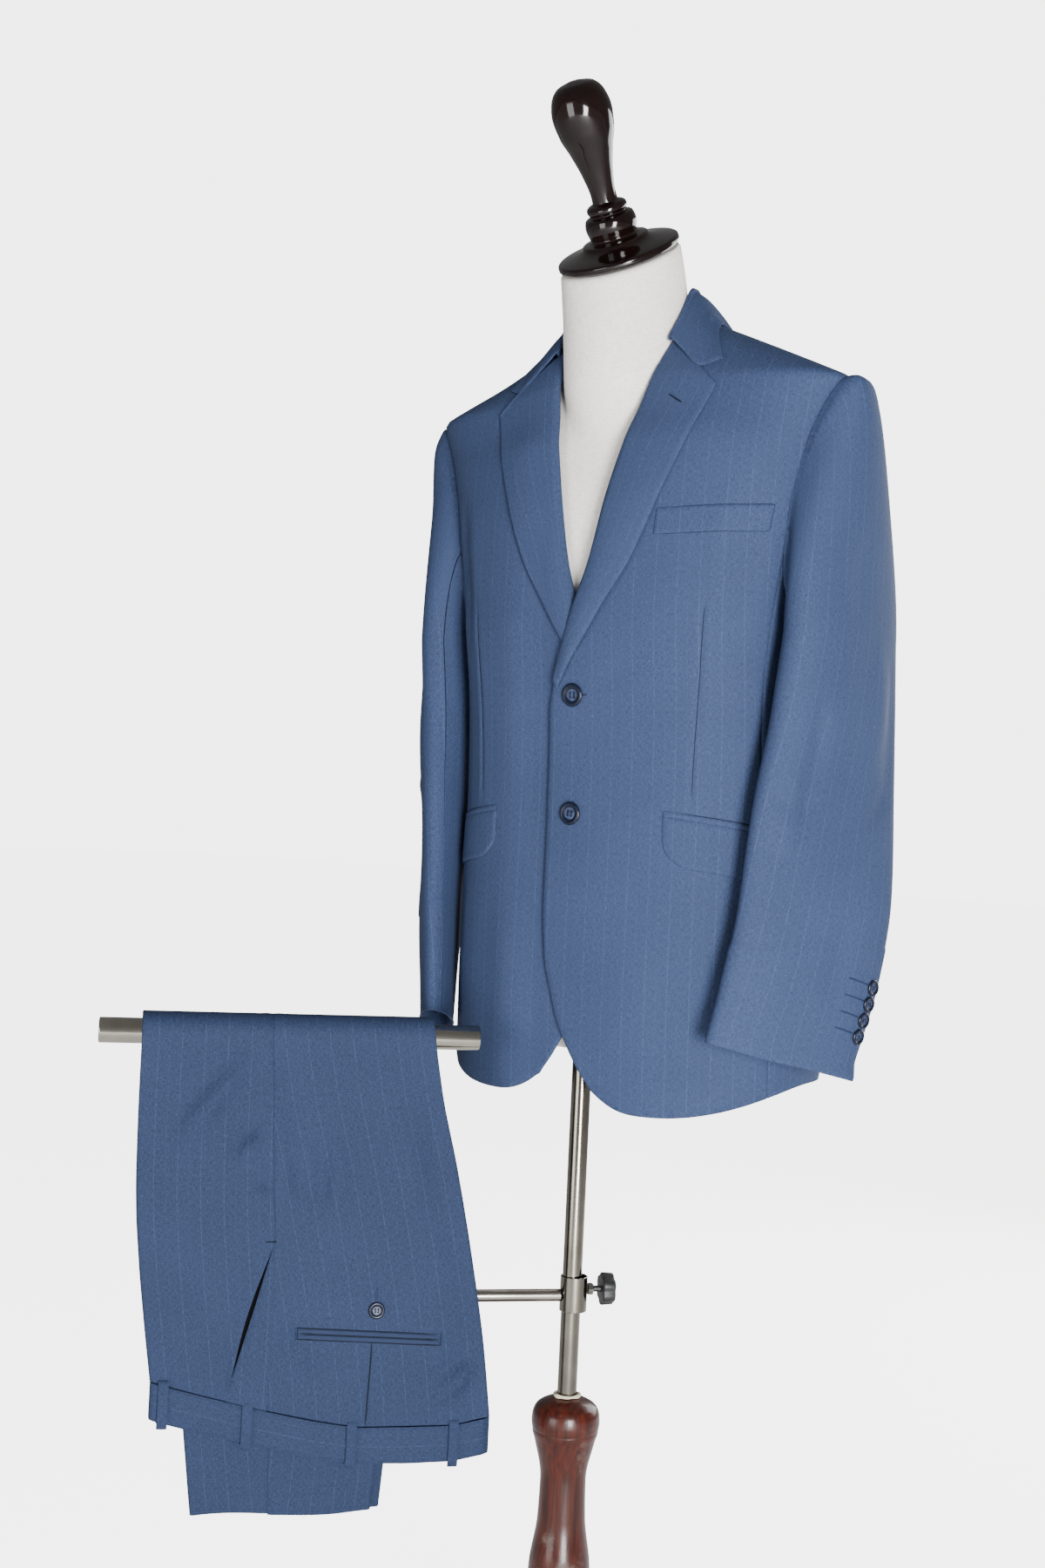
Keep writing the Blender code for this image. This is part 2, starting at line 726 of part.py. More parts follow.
def make_turned(name, profile, finish, steps):
    """A turned piece about Z from a profile of radii and heights, top to bottom."""
    mesh = bpy.data.meshes.new(name)
    bm = bmesh.new()
    top_z = profile[0][1]
    low_z = profile[-1][1]
    points = [(0.0, top_z)] + [tuple(row) for row in profile] + [(0.0, low_z)]
    verts = [bm.verts.new((r, 0, z)) for r, z in points]
    for a, b in zip(verts, verts[1:]):
        bm.edges.new((a, b))
    bm.to_mesh(mesh)
    bm.free()
    obj = add_object(name, mesh, finish)
    screw = obj.modifiers.new("turn", "SCREW")
    screw.steps = steps
    screw.render_steps = steps
    screw.use_merge_vertices = True
    screw.merge_threshold = 0.00001
    return obj


def make_button(name, radius, point, normal):
    """A resin button with a raised rim and a dished middle."""
    thick = radius * 0.30
    profile = (
        (radius * 0.62, thick * 0.62),
        (radius * 0.80, thick),
        (radius, thick * 0.60),
        (radius * 0.80, 0.0),
    )
    button = make_turned(name, profile, "button_resin", 14)
    button.matrix_world = Matrix.Translation(point) @ normal.to_track_quat("Z", "X").to_matrix().to_4x4()
    return button


def sleeve_button_place(tree, index):
    """Centre and outward normal of a button on the left cuff, counted from the cuff."""
    z = SLEEVE[-1][0] + CUFF_BUTTON_RISE + CUFF_BUTTON_STEP * index
    turn = CUFF_BUTTON_ANGLE
    here = sleeve_section(turn, z)
    across = sleeve_section(turn + 2, z) - sleeve_section(turn - 2, z)
    upward = sleeve_section(turn, z + 0.004) - here
    normal = across.cross(upward).normalized()
    hit = tree.ray_cast(here + normal * 0.02, -normal, 0.04)
    return hit[0] + hit[1] * CUFF_BUTTON_LIFT, hit[1]


def make_buttons():
    for index, z in enumerate(FRONT_BUTTONS_Z):
        normal = jacket_normal(0.0, z)
        make_button(f"front_button_{index + 1}", FRONT_BUTTON_R, lifted(0.0, z, CLOTH + 0.0006), normal)
    tree = outer_surface("top_sleeve_left")
    for index in range(CUFF_BUTTON_COUNT):
        point, normal = sleeve_button_place(tree, index)
        make_button(f"cuff_button_left_{index + 1}", CUFF_BUTTON_R, point, normal)
        across = Vector((-normal.x, normal.y, normal.z))
        make_button(f"cuff_button_right_{index + 1}", CUFF_BUTTON_R, to_right(point), across)


# dress form and stand -----------------------------------------------------

def form_point(degrees, z):
    """A point of the form: the farther of its body and its neck, blended where they meet."""
    half, front, back, mid = [along_table(FORM_BODY, z, column) for column in range(1, 5)]
    radius, neck_mid, lean = [along_table(FORM_NECK, z, column) for column in range(1, 4)]
    angle = math.radians(degrees)
    across = math.sin(angle)
    ahead = math.cos(angle)
    depth = front if ahead > 0 else back
    body = (abs(across / half) ** SQUARENESS + abs(ahead / depth) ** SQUARENESS) ** (-1 / SQUARENESS)
    offset = (mid - neck_mid) * ahead
    inside = radius ** 2 - (mid - neck_mid) ** 2 + offset ** 2
    neck = offset + math.sqrt(max(0.0, inside)) if inside > 0 else 0.0
    reach = (body ** NECK_BLEND + max(neck, 0.0) ** NECK_BLEND) ** (1 / NECK_BLEND)
    y = mid - reach * ahead - neck_mid
    tilt = math.radians(lean)
    return Vector((reach * across, neck_mid + y * math.cos(tilt), z + y * math.sin(tilt)))


def make_form():
    """The cloth-covered torso: rings lofted from the flat floor of the form to the neck's cut."""
    steps = 26
    heights = [0.720, 0.728, 0.745, 0.80, 0.88, 0.97, 1.06, 1.15, 1.24, 1.31, 1.35, 1.375,
               1.390, 1.405, 1.418, 1.430, 1.445, 1.465, 1.486, 1.506]
    bm = bmesh.new()
    rings = []
    for z in heights:
        rings.append([bm.verts.new(form_point(360 * i / steps, z)) for i in range(steps)])
    for low, high in zip(rings, rings[1:]):
        for i in range(steps):
            j = (i + 1) % steps
            bm.faces.new((low[i], low[j], high[j], high[i]))
    bm.faces.new(rings[0][::-1])
    bm.faces.new(rings[-1])
    mesh = bpy.data.meshes.new("form_torso")
    bm.to_mesh(mesh)
    bm.free()
    mesh.shade_smooth()
    add_object("form_torso", mesh, "form_cotton")


def make_finial():
    finial = make_turned("finial", FINIAL, "lacquered_wood", 20)
    lean = math.radians(FINIAL_LEAN)
    direction = Vector((0, -math.sin(lean), math.cos(lean)))
    foot = Vector((0, 0.002, 1.506)) + direction * 0.0012
    finial.matrix_world = Matrix.Translation(foot) @ Matrix.Rotation(lean, 4, "X")


def make_tube_mesh(name, outer, inner, low, high, finish, steps=24):
    """An open tube about Z."""
    bm = bmesh.new()
    corners = [(outer, high), (outer, low), (inner, low), (inner, high)]
    verts = [bm.verts.new((r, 0, z)) for r, z in corners]
    for i in range(4):
        bm.edges.new((verts[i], verts[(i + 1) % 4]))
    mesh = bpy.data.meshes.new(name)
    bm.to_mesh(mesh)
    bm.free()
    obj = add_object(name, mesh, finish)
    screw = obj.modifiers.new("turn", "SCREW")
    screw.steps = steps
    screw.render_steps = steps
    screw.use_merge_vertices = True
    screw.merge_threshold = 0.00001
    return obj


def make_stand():
    make_turned("stand_foot", FOOT, "post_wood", 32)
    make_turned("stand_post", POST, "post_wood", 24)
    make_tube_mesh("post_ring", RING_R, POLE_R + 0.0005, POST_TOP_Z, POST_TOP_Z + 0.0032, "form_cotton")
    make_turned("pole", ((POLE_R, FORM_FLOOR_Z - SEAM), (POLE_R, POST_TOP_Z)), "nickel_steel", 24)


def rail_point(along, out, z):
    """A point of the rail's plane: distance along the rail, towards the front, and height."""
    c = math.cos(RAIL_DIRECTION)
    s = math.sin(RAIL_DIRECTION)
    return Vector((c * along - s * out, s * along + c * out, z))


def rail_matrix(along, out, z):
    """Z along the rail's line, at a point of it."""
    turn = Matrix.Rotation(RAIL_DIRECTION, 4, "Z") @ Matrix.Rotation(math.pi / 2, 4, "Y")
    return Matrix.Translation(rail_point(along, out, z)) @ turn


def make_curve_tube(name, points, radius, finish):
    curve = bpy.data.curves.new(name, "CURVE")
    curve.dimensions = "3D"
    curve.bevel_depth = radius
    curve.bevel_resolution = 2
    curve.use_fill_caps = True
    spline = curve.splines.new("POLY")
    spline.points.add(len(points) - 1)
    for target, point in zip(spline.points, points):
        target.co = (*point, 1)
    return add_object(name, curve, finish)


def make_rail():
    shift = CLAMP_INNER - POLE_R - SEAM
    clamp = make_tube_mesh("rail_clamp", CLAMP_OUTER, CLAMP_INNER, -CLAMP_HALF, CLAMP_HALF,
                           "nickel_steel", 32)
    clamp.matrix_world = Matrix.Translation(rail_point(-shift, 0, ARM_LINE_Z + 0.002))
    start = CLAMP_OUTER - shift + SEAM + 0.0002
    bend = 0.022
    top = RAIL_Z - RAIL_R - SEAM
    points = [rail_point(start, 0, ARM_LINE_Z), rail_point(ARM_UPRIGHT - bend, 0, ARM_LINE_Z)]
    for step in range(1, 6):
        angle = math.pi / 2 * step / 6
        points.append(rail_point(ARM_UPRIGHT - bend + bend * math.sin(angle), 0,
                                 ARM_LINE_Z + bend * (1 - math.cos(angle))))
    points.append(rail_point(ARM_UPRIGHT, 0, ARM_LINE_Z + bend))
    points.append(rail_point(ARM_UPRIGHT, 0, top))
    make_curve_tube("rail_arm", points, ARM_R, "nickel_steel")
    length = RAIL_SPAN[1] - RAIL_SPAN[0]
    end = RAIL_R - RAIL_EDGE
    profile = ((end, length), (RAIL_R, length - RAIL_EDGE), (RAIL_R, RAIL_EDGE), (end, 0.0))
    bar = make_turned("trouser_rail", profile, "nickel_steel", 24)
    bar.matrix_world = rail_matrix(RAIL_SPAN[0], 0, RAIL_Z)


def make_knob():
    """The clamp's hand screw: a bolt through a hex nut with a flat-sided black head."""
    shift = CLAMP_INNER - POLE_R - SEAM
    face = CLAMP_OUTER + shift + SEAM
    nut = make_turned("clamp_nut", ((0.0062, face + 0.0055), (0.0062, face)), "nickel_steel", 6)
    nut.matrix_world = rail_matrix(0, 0, ARM_LINE_Z + 0.006) @ Matrix.Rotation(math.pi, 4, "Y")
    reach = KNOB_REACH
    profile = ((0.0135, reach + 0.0140), (0.0160, reach + 0.0115), (0.0160, reach + 0.0015),
               (0.0120, reach), (0.0030, reach), (0.0030, face + 0.0058))
    knob = make_turned("clamp_knob", profile, "knob_plastic", 10)
    knob.matrix_world = rail_matrix(0, 0, ARM_LINE_Z + 0.006) @ Matrix.Rotation(math.pi, 4, "Y")


# trousers -----------------------------------------------------------------

def leg_gap(along):
    """The hollow between a leg's two faces: pressed at the rail, looser below."""
    away = smooth((abs(along) - 0.03) / 0.16)
    return mix(LEG_GAP[0], LEG_GAP[1], away)


def layer_radius(layer, along):
    """Middle of a cloth layer from the rail's axis; 0 is the left leg's outer face."""
    gap = leg_gap(along)
    base = RAIL_R + 0.0007 + TROUSER_CLOTH / 2
    leg = 0 if layer < 2 else 1
    inside = layer - 2 * leg
    return base + leg * (2 * TROUSER_CLOTH + gap + 0.0006) + inside * (TROUSER_CLOTH + gap)


def over_rail(along_rail, along, radius):
    """A point of the cloth: along the rail, along the cloth, and out from the rail's axis."""
    quarter = math.pi / 2 * BAR_BEND
    if abs(along) <= quarter:
        angle = along / BAR_BEND
        return rail_point(along_rail, -radius * math.sin(angle), RAIL_Z + radius * math.cos(angle))
    side = 1 if along < 0 else -1
    return rail_point(along_rail, side * radius, RAIL_Z - (abs(along) - quarter))


def waist_along(along_rail):
    """The waist seam: it rises towards the front crease, and a little at the seat."""
    start, width, rise = FRONT_RISE
    front = max(0.0, min(1.0, (along_rail - start) / width))
    start, width, seat_rise = SEAT_RISE
    seat = smooth((start - along_rail) / width)
    return WAIST_ALONG + rise * front ** 1.25 + seat_rise * seat


def leg_rows():
    near = [-0.35, -0.29, SLANT_TOP[0], -0.15, -0.08, -0.036]
    over = [math.pi / 8 * BAR_BEND * step for step in range(-4, 5)]
    far = [0.040, 0.13, 0.25, 0.38]
    return [WAIST_ALONG] + near + over + far + [HEM_ALONG]


def leg_panel(leg, part):
    """One trouser panel: outer face from the side seam, round the crease, inner face to the inseam."""
    rows = leg_rows()
    outer_layer, inner_layer = (3, 2) if leg == "right" else (0, 1)
    shift = -LEG_SHIFT if leg == "right" else 0.0
    sign = 1 if part == "front" else -1
    shares = [0.0, 0.25, 0.55, 0.8, 1.0]

    def place(u, v):
        row = v * (len(rows) - 1)
        i = min(int(row + 1e-6), len(rows) - 2)
        along = mix(rows[i], rows[i + 1], row - i)
        moved = shift * smooth((along - 0.05) / 0.4)
        crease = along_table(LEG, along, 1 if part == "front" else 2) + moved
        seam = along_table(LEG, along, 3) + moved
        start = seam + sign * 0.0003
        if part == "front" and along < SLANT_TOP[0]:
            t = (SLANT_TOP[0] - along) / (SLANT_TOP[0] - SLANT_WAIST[0])
            start = mix(SLANT_TOP[1], SLANT_WAIST[1], t) + 0.0003
        outer = layer_radius(outer_layer, along)
        inner = layer_radius(inner_layer, along)
        fold = abs(outer - inner) / 2
        across = u * 9
        if across <= 4:
            k = shares[int(across + 1e-6)]
            where = mix(start, crease - sign * fold, k)
            radius = outer
        elif across < 7:
            angle = math.pi * (across - 4) / 3
            where = crease - sign * fold + sign * fold * math.sin(angle)
            radius = mix(outer, inner, (1 - math.cos(angle)) / 2)
        else:
            where = mix(crease - sign * fold, seam + sign * 0.0003, (across - 7) / 2)
            radius = inner
        if along < -0.2:
            bend = (along + 0.2) / (WAIST_ALONG + 0.2)
            along = along + (waist_along(where) - WAIST_ALONG) * bend
        return over_rail(where, along, radius)

    return place


def outer_radius(leg, along):
    return layer_radius(3 if leg == "right" else 0, along)


def face_side(leg):
    return 1 if leg == "right" else -1


def leg_patch(name, leg, corners, lift, columns, rows, wall=0.0010, finish="suiting"):
    """A piece on the outer face of a leg: corners are low and high along the rail and the cloth."""
    def place(u, v):
        where = mix(corners[0], corners[1], u)
        along = mix(corners[2], corners[3], v)
        return over_rail(where, along, outer_radius(leg, along) + face_side(leg) * lift)
    return sheet_object(name, columns, rows, place, wall, finish, 0.0)


def make_facing(leg):
    """The side piece that shows inside a slant pocket."""
    def place(u, v):
        along = mix(WAIST_ALONG, SLANT_TOP[0] + 0.006, v)
        t = max(0.0, (SLANT_TOP[0] - along) / (SLANT_TOP[0] - SLANT_WAIST[0]))
        high = mix(SLANT_TOP[1], SLANT_WAIST[1], t) + 0.008
        where = mix(along_table(LEG, along, 3) - 0.004, high, u)
        bend = (along + 0.2) / (WAIST_ALONG + 0.2)
        along += (waist_along(where) - WAIST_ALONG) * bend
        radius = outer_radius(leg, along) - face_side(leg) * (TROUSER_CLOTH + SEAM + 0.0001)
        return over_rail(where, along, radius)
    sheet_object(f"pocket_facing_{leg}", 2, 6, place, TROUSER_CLOTH, side=0.0)


def band_profile():
    """The waistband's line round the folded waist: (distance along the rail, layer)."""
    front = along_table(LEG, WAIST_ALONG, 1) + 0.0005
    back = along_table(LEG, WAIST_ALONG, 2) - 0.0005
    tuck = 0.335
    inside = [(tuck, 2.0), (0.37, 2.0), (front - 0.003, 2.0), (front, 2.5), (front - 0.003, 3.0)]
    face = [(mix(front - 0.003, back + 0.006, k), 3.0) for k in (0.12, 0.25, 0.4, 0.55, 0.7, 0.85, 1.0)]
    turn = [(back + 0.001, 2.4), (back, 1.5), (back + 0.001, 0.6)]
    other = [(x, 0.0) for x, _ in face[::-1]]
    tucked = [(x, 3.0 - layer) for x, layer in inside[::-1]]
    return inside + face + turn + other + tucked


def band_radius(layer, along):
    low = int(min(2, max(0, math.floor(layer))))
    return mix(layer_radius(low, along), layer_radius(low + 1, along), layer - low)


def make_waistband():
    profile = band_profile()

    def place(u, v):
        i = int(round(u * (len(profile) - 1)))
        where, layer = profile[i]
        low = waist_along(where) - 0.0013
        along = mix(low, low - BAND_HEIGHT, v)
        return over_rail(where, along, band_radius(layer, along))

    sheet_object("waistband", len(profile) - 1, 2, place, 0.0014, side=0.0)


def make_trousers():
    for leg in ("right", "left"):
        for part in ("front", "back"):
            sheet_object(f"trouser_{part}_{leg}", 9, len(leg_rows()) - 1,
                         leg_panel(leg, part), TROUSER_CLOTH, side=0.0)
        make_facing(leg)
        for index, where in enumerate(LOOPS_ALONG_RAIL):
            top = waist_along(where) + 0.004
            corners = (where - LOOP_WIDTH / 2, where + LOOP_WIDTH / 2, top - BAND_HEIGHT - 0.010, top)
            leg_patch(f"belt_loop_{leg}_{index + 1}", leg, corners, 0.0017, 2, 3)
        low, high, along, height = BACK_POCKET
        leg_patch(f"back_pocket_{leg}", leg, (low, high, along - height, along), 0.0015, 6, 2)
        where, along, radius = BACK_BUTTON
        side = face_side(leg)
        normal = (rail_point(0, 1, 0) * side).normalized()
        point = over_rail(where, along, outer_radius(leg, along) + side * (TROUSER_CLOTH / 2 + 0.0006))
        make_button(f"back_button_{leg}", radius, point, normal)
    make_waistband()


def main():
    clear_scene()
    collection = bpy.data.collections.new("two_piece_suit")
    bpy.context.scene.collection.children.link(collection)
    make_stand()
    make_form()
    make_finial()
    make_body()
    make_lapels()
    make_sleeves()
    make_pockets()
    make_buttons()
    make_rail()
    make_knob()
    make_trousers()


main()
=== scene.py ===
# A two-piece suit: the jacket on its dress form, and the trousers over the stand's rail.
# Metres, Z up. The jacket faces -Y and the wearer's left is +X.
import math

import bmesh
import bpy
import numpy as np
from mathutils import Matrix, Vector


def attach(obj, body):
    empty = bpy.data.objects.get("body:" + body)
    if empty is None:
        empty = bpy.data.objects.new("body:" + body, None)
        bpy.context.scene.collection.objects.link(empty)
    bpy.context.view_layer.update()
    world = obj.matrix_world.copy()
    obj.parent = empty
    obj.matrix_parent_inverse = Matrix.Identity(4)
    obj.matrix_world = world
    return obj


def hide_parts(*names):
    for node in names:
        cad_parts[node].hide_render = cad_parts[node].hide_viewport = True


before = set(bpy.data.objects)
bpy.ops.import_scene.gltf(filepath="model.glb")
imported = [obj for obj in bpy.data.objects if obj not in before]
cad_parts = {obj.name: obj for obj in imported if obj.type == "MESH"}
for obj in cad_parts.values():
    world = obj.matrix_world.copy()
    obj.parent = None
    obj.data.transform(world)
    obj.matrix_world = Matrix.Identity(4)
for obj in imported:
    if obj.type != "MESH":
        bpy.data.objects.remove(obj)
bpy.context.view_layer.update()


# ---- small tools ----

def toLinear(hexColour):
    values = [int(hexColour[i:i + 2], 16) / 255 for i in (1, 3, 5)]
    return tuple(c / 12.92 if c <= 0.04045 else ((c + 0.055) / 1.055) ** 2.4 for c in values) + (1.0,)


def mix(a, b, t):
    return a + (b - a) * t


def smooth(t):
    t = np.clip(t, 0.0, 1.0)
    return t * t * (3 - 2 * t)


def bell(x, width):
    return np.exp(-(x / width) ** 2)


def seamHeight(away, groove, ridge):
    # a fine groove along a seam and a low ridge beside it: depth and width, then rise, offset and width
    depth, narrow = groove
    rise, offset, wide = ridge
    return rise * bell(away - offset, wide) - depth * bell(away, narrow)


def power(value, exponent):
    return np.sign(value) * np.abs(value) ** exponent


def curveThrough(rows, keys, column):
    # a smooth curve through one column of a table, without overshoot
    table = np.array(rows, float)
    if table[0, 0] > table[-1, 0]:
        table = table[::-1]
    x = table[:, 0]
    y = table[:, column]
    slope = np.diff(y) / np.diff(x)
    product = slope[:-1] * slope[1:]
    total = np.where(product > 0, slope[:-1] + slope[1:], 1.0)
    tangent = np.concatenate(([slope[0]], np.where(product > 0, 2 * product / total, 0.0), [slope[-1]]))
    key = np.clip(keys, x[0], x[-1])
    i = np.clip(np.searchsorted(x, key, side="right") - 1, 0, len(x) - 2)
    width = x[i + 1] - x[i]
    t = (key - x[i]) / width
    return ((1 + 2 * t) * (1 - t) ** 2 * y[i] + t * (1 - t) ** 2 * width * tangent[i]
            + t * t * (3 - 2 * t) * y[i + 1] + t * t * (t - 1) * width * tangent[i + 1])


def stack(x, y, z):
    return np.stack(np.broadcast_arrays(x, y, z), axis=-1).astype(float)


def unit(vectors):
    length = np.linalg.norm(vectors, axis=-1, keepdims=True)
    return vectors / np.maximum(length, 1e-12)


def gridNormals(points):
    across = np.gradient(points, axis=1)
    upward = np.gradient(points, axis=0)
    return unit(np.cross(across, upward))


def arcAlong(points, axis):
    steps = np.linalg.norm(np.diff(points, axis=axis), axis=-1)
    start = np.zeros_like(steps[:1] if axis == 0 else steps[:, :1])
    return np.concatenate((start, np.cumsum(steps, axis=axis)), axis=axis)


def runAlong(path):
    # how far each point of a path is from its start
    return np.concatenate(([0], np.cumsum(np.linalg.norm(np.diff(path, axis=0), axis=1))))


def creaseField(chartX, chartY, creases):
    # every crease: its points, half width, height (below zero is a trough), and how far along it is highest
    total = np.zeros_like(chartX)
    for points, width, height, peak in creases:
        nearest = np.full_like(chartX, 1e9)
        place = np.zeros_like(chartX)
        lengths = [math.dist(a, b) for a, b in zip(points, points[1:])]
        run = 0.0
        for (ax, ay), (bx, by), length in zip(points, points[1:], lengths):
            dx, dy = (bx - ax) / length, (by - ay) / length
            along = np.clip((chartX - ax) * dx + (chartY - ay) * dy, 0, length)
            away = np.hypot(chartX - ax - dx * along, chartY - ay - dy * along)
            closer = away < nearest
            nearest = np.where(closer, away, nearest)
            place = np.where(closer, (run + along) / sum(lengths), place)
            run += length
        fade = np.where(place < peak, smooth(place / peak), smooth((1 - place) / (1 - peak)))
        taper = 0.35 + 0.65 * fade
        total += height * bell(nearest, width * taper) * fade
    return total


def rolledEdges(points, sides, depth, width):
    # how far the cloth bends back towards its chosen edges
    across = arcAlong(points, 1)
    upward = arcAlong(points, 0)
    distances = {
        "start": across,
        "end": across[:, -1:] - across,
        "bottom": upward,
        "top": upward[-1:] - upward,
    }
    bend = np.zeros(points.shape[:2])
    for side in sides:
        bend = np.maximum(bend, (1 - np.clip(distances[side] / width, 0, 1)) ** 2)
    return -depth * bend


def meshFrom(name, bm):
    mesh = bpy.data.meshes.new(name)
    bm.to_mesh(mesh)
    bm.free()
    mesh.shade_smooth()
    return mesh


def closedMesh(mesh, sharpDegrees):
    # the same mesh with the rows that meet joined, its faces turned outwards
    bm = bmesh.new()
    bm.from_mesh(mesh)
    bmesh.ops.remove_doubles(bm, verts=bm.verts, dist=1e-6)
    bmesh.ops.recalc_face_normals(bm, faces=bm.faces)
    bm.to_mesh(mesh)
    bm.free()
    mesh.shade_smooth()
    mesh.set_sharp_from_angle(angle=math.radians(sharpDegrees))
    return mesh


def gridMesh(name, columns, rows, place):
    # a grid whose points and weave come from place(u, v): points, then metres across and along the cloth
    bm = bmesh.new()
    bmesh.ops.create_grid(bm, x_segments=columns, y_segments=rows, size=0.5)
    mesh = meshFrom(name, bm)
    flat = np.empty(len(mesh.vertices) * 3)
    mesh.vertices.foreach_get("co", flat)
    flat = flat.reshape(rows + 1, columns + 1, 3)
    points, across, along = place(flat[..., 0] + 0.5, flat[..., 1] + 0.5)
    mesh.vertices.foreach_set("co", points.reshape(-1))
    corners = np.empty(len(mesh.loops), np.int32)
    mesh.loops.foreach_get("vertex_index", corners)
    weave = np.stack(np.broadcast_arrays(across, along), axis=-1).reshape(-1, 2)
    layer = mesh.uv_layers.new(name="weave")
    layer.data.foreach_set("uv", weave[corners].reshape(-1))
    mesh.update()
    return mesh


def addPiece(name, mesh, finish, body, replaced=()):
    piece = bpy.data.objects.new(name, mesh)
    bpy.context.scene.collection.objects.link(piece)
    mesh.materials.clear()
    mesh.materials.append(finish)
    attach(piece, body)
    if replaced:
        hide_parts(*replaced)
    return piece


def addCloth(name, size, place, finish, body, node, thickness, offset=1.0):
    # a grid of cloth of columns by rows with its wall, in place of one solid
    piece = addPiece(name, gridMesh(name, *size, place), finish, body, (node,))
    return addWall(piece, thickness, offset)


def addWall(piece, thickness, offset, roundEdge=True):
    wall = piece.modifiers.new("wall", "SOLIDIFY")
    wall.thickness = thickness
    wall.offset = offset
    wall.use_even_offset = False
    if roundEdge:
        rim = piece.modifiers.new("rim", "BEVEL")
        rim.width = thickness * 0.3
        rim.segments = 2
        rim.limit_method = "ANGLE"
        rim.angle_limit = math.radians(50)
        rim.profile = 0.5
    return piece


def turnedMesh(name, profile, steps, matrix=Matrix()):
    # profile: radius and height, bottom to top, closed at the axis
    bm = bmesh.new()
    verts = [bm.verts.new((r, 0, z)) for r, z in profile]
    edges = [bm.edges.new(pair) for pair in zip(verts, verts[1:])]
    bmesh.ops.spin(bm, geom=verts + edges, cent=(0, 0, 0), axis=(0, 0, 1), angle=math.tau,
                   steps=steps, use_merge=True, use_duplicate=False)
    bmesh.ops.remove_doubles(bm, verts=bm.verts, dist=1e-6)
    bmesh.ops.recalc_face_normals(bm, faces=bm.faces)
    bmesh.ops.transform(bm, matrix=matrix, verts=bm.verts)
    mesh = meshFrom(name, bm)
    mesh.set_sharp_from_angle(angle=math.radians(38))
    return mesh


def fineProfile(rows, step):
    # a turned profile drawn finer through its rows of radius and height
    rows = np.array(rows, float)
    key = runAlong(rows)
    count = max(8, int(key[-1] / step))
    keys = np.unique(np.concatenate((np.linspace(0, key[-1], count), key)))
    table = np.column_stack((key, rows))
    points = list(zip(curveThrough(table, keys, 1), curveThrough(table, keys, 2)))
    return [(0.0, points[0][1])] + points + [(0.0, points[-1][1])]


# ---- materials ----

def fillInputs(tree, node, inputs):
    # an input takes a value, or the output that it is linked to
    for key, value in inputs.items():
        if isinstance(value, bpy.types.NodeSocket):
            tree.links.new(value, node.inputs[key])
        else:
            node.inputs[key].default_value = value


def addNode(tree, kind, inputs, output=0, **settings):
    node = tree.nodes.new(kind)
    for key, value in settings.items():
        setattr(node, key, value)
    fillInputs(tree, node, inputs)
    return node.outputs[output]


def addMath(tree, operation, *values):
    return addNode(tree, "ShaderNodeMath", dict(enumerate(values)), operation=operation)


def addRange(tree, value, low, high, first=0.0, last=1.0):
    return addNode(tree, "ShaderNodeMapRange", {0: value, 1: low, 2: high, 3: first, 4: last})


def addNoise(tree, place, scale, detail, **inputs):
    inputs = {"Vector": place, "Scale": scale, "Detail": detail, **inputs}
    return addNode(tree, "ShaderNodeTexNoise", inputs)


def addMapping(tree, place, **inputs):
    return addNode(tree, "ShaderNodeMapping", {"Vector": place, **inputs})


def addMix(tree, share, first, second):
    return addNode(tree, "ShaderNodeMix", {0: share, 6: first, 7: second}, 2, data_type="RGBA")


def addRelief(tree, height, strength, distance):
    return addNode(tree, "ShaderNodeBump", {"Height": height, "Strength": strength, "Distance": distance})


def newFinish(name):
    finish = bpy.data.materials.new(name)
    finish.use_nodes = True
    tree = finish.node_tree
    return finish, tree, tree.nodes["Principled BSDF"]


stripes = {
    "spacing": 0.0215,
    "width": 0.0009,
    "strong": (0.5, 0.0042, 0.23),
    "faint": (0.0, 0.0036, 0.07),
}


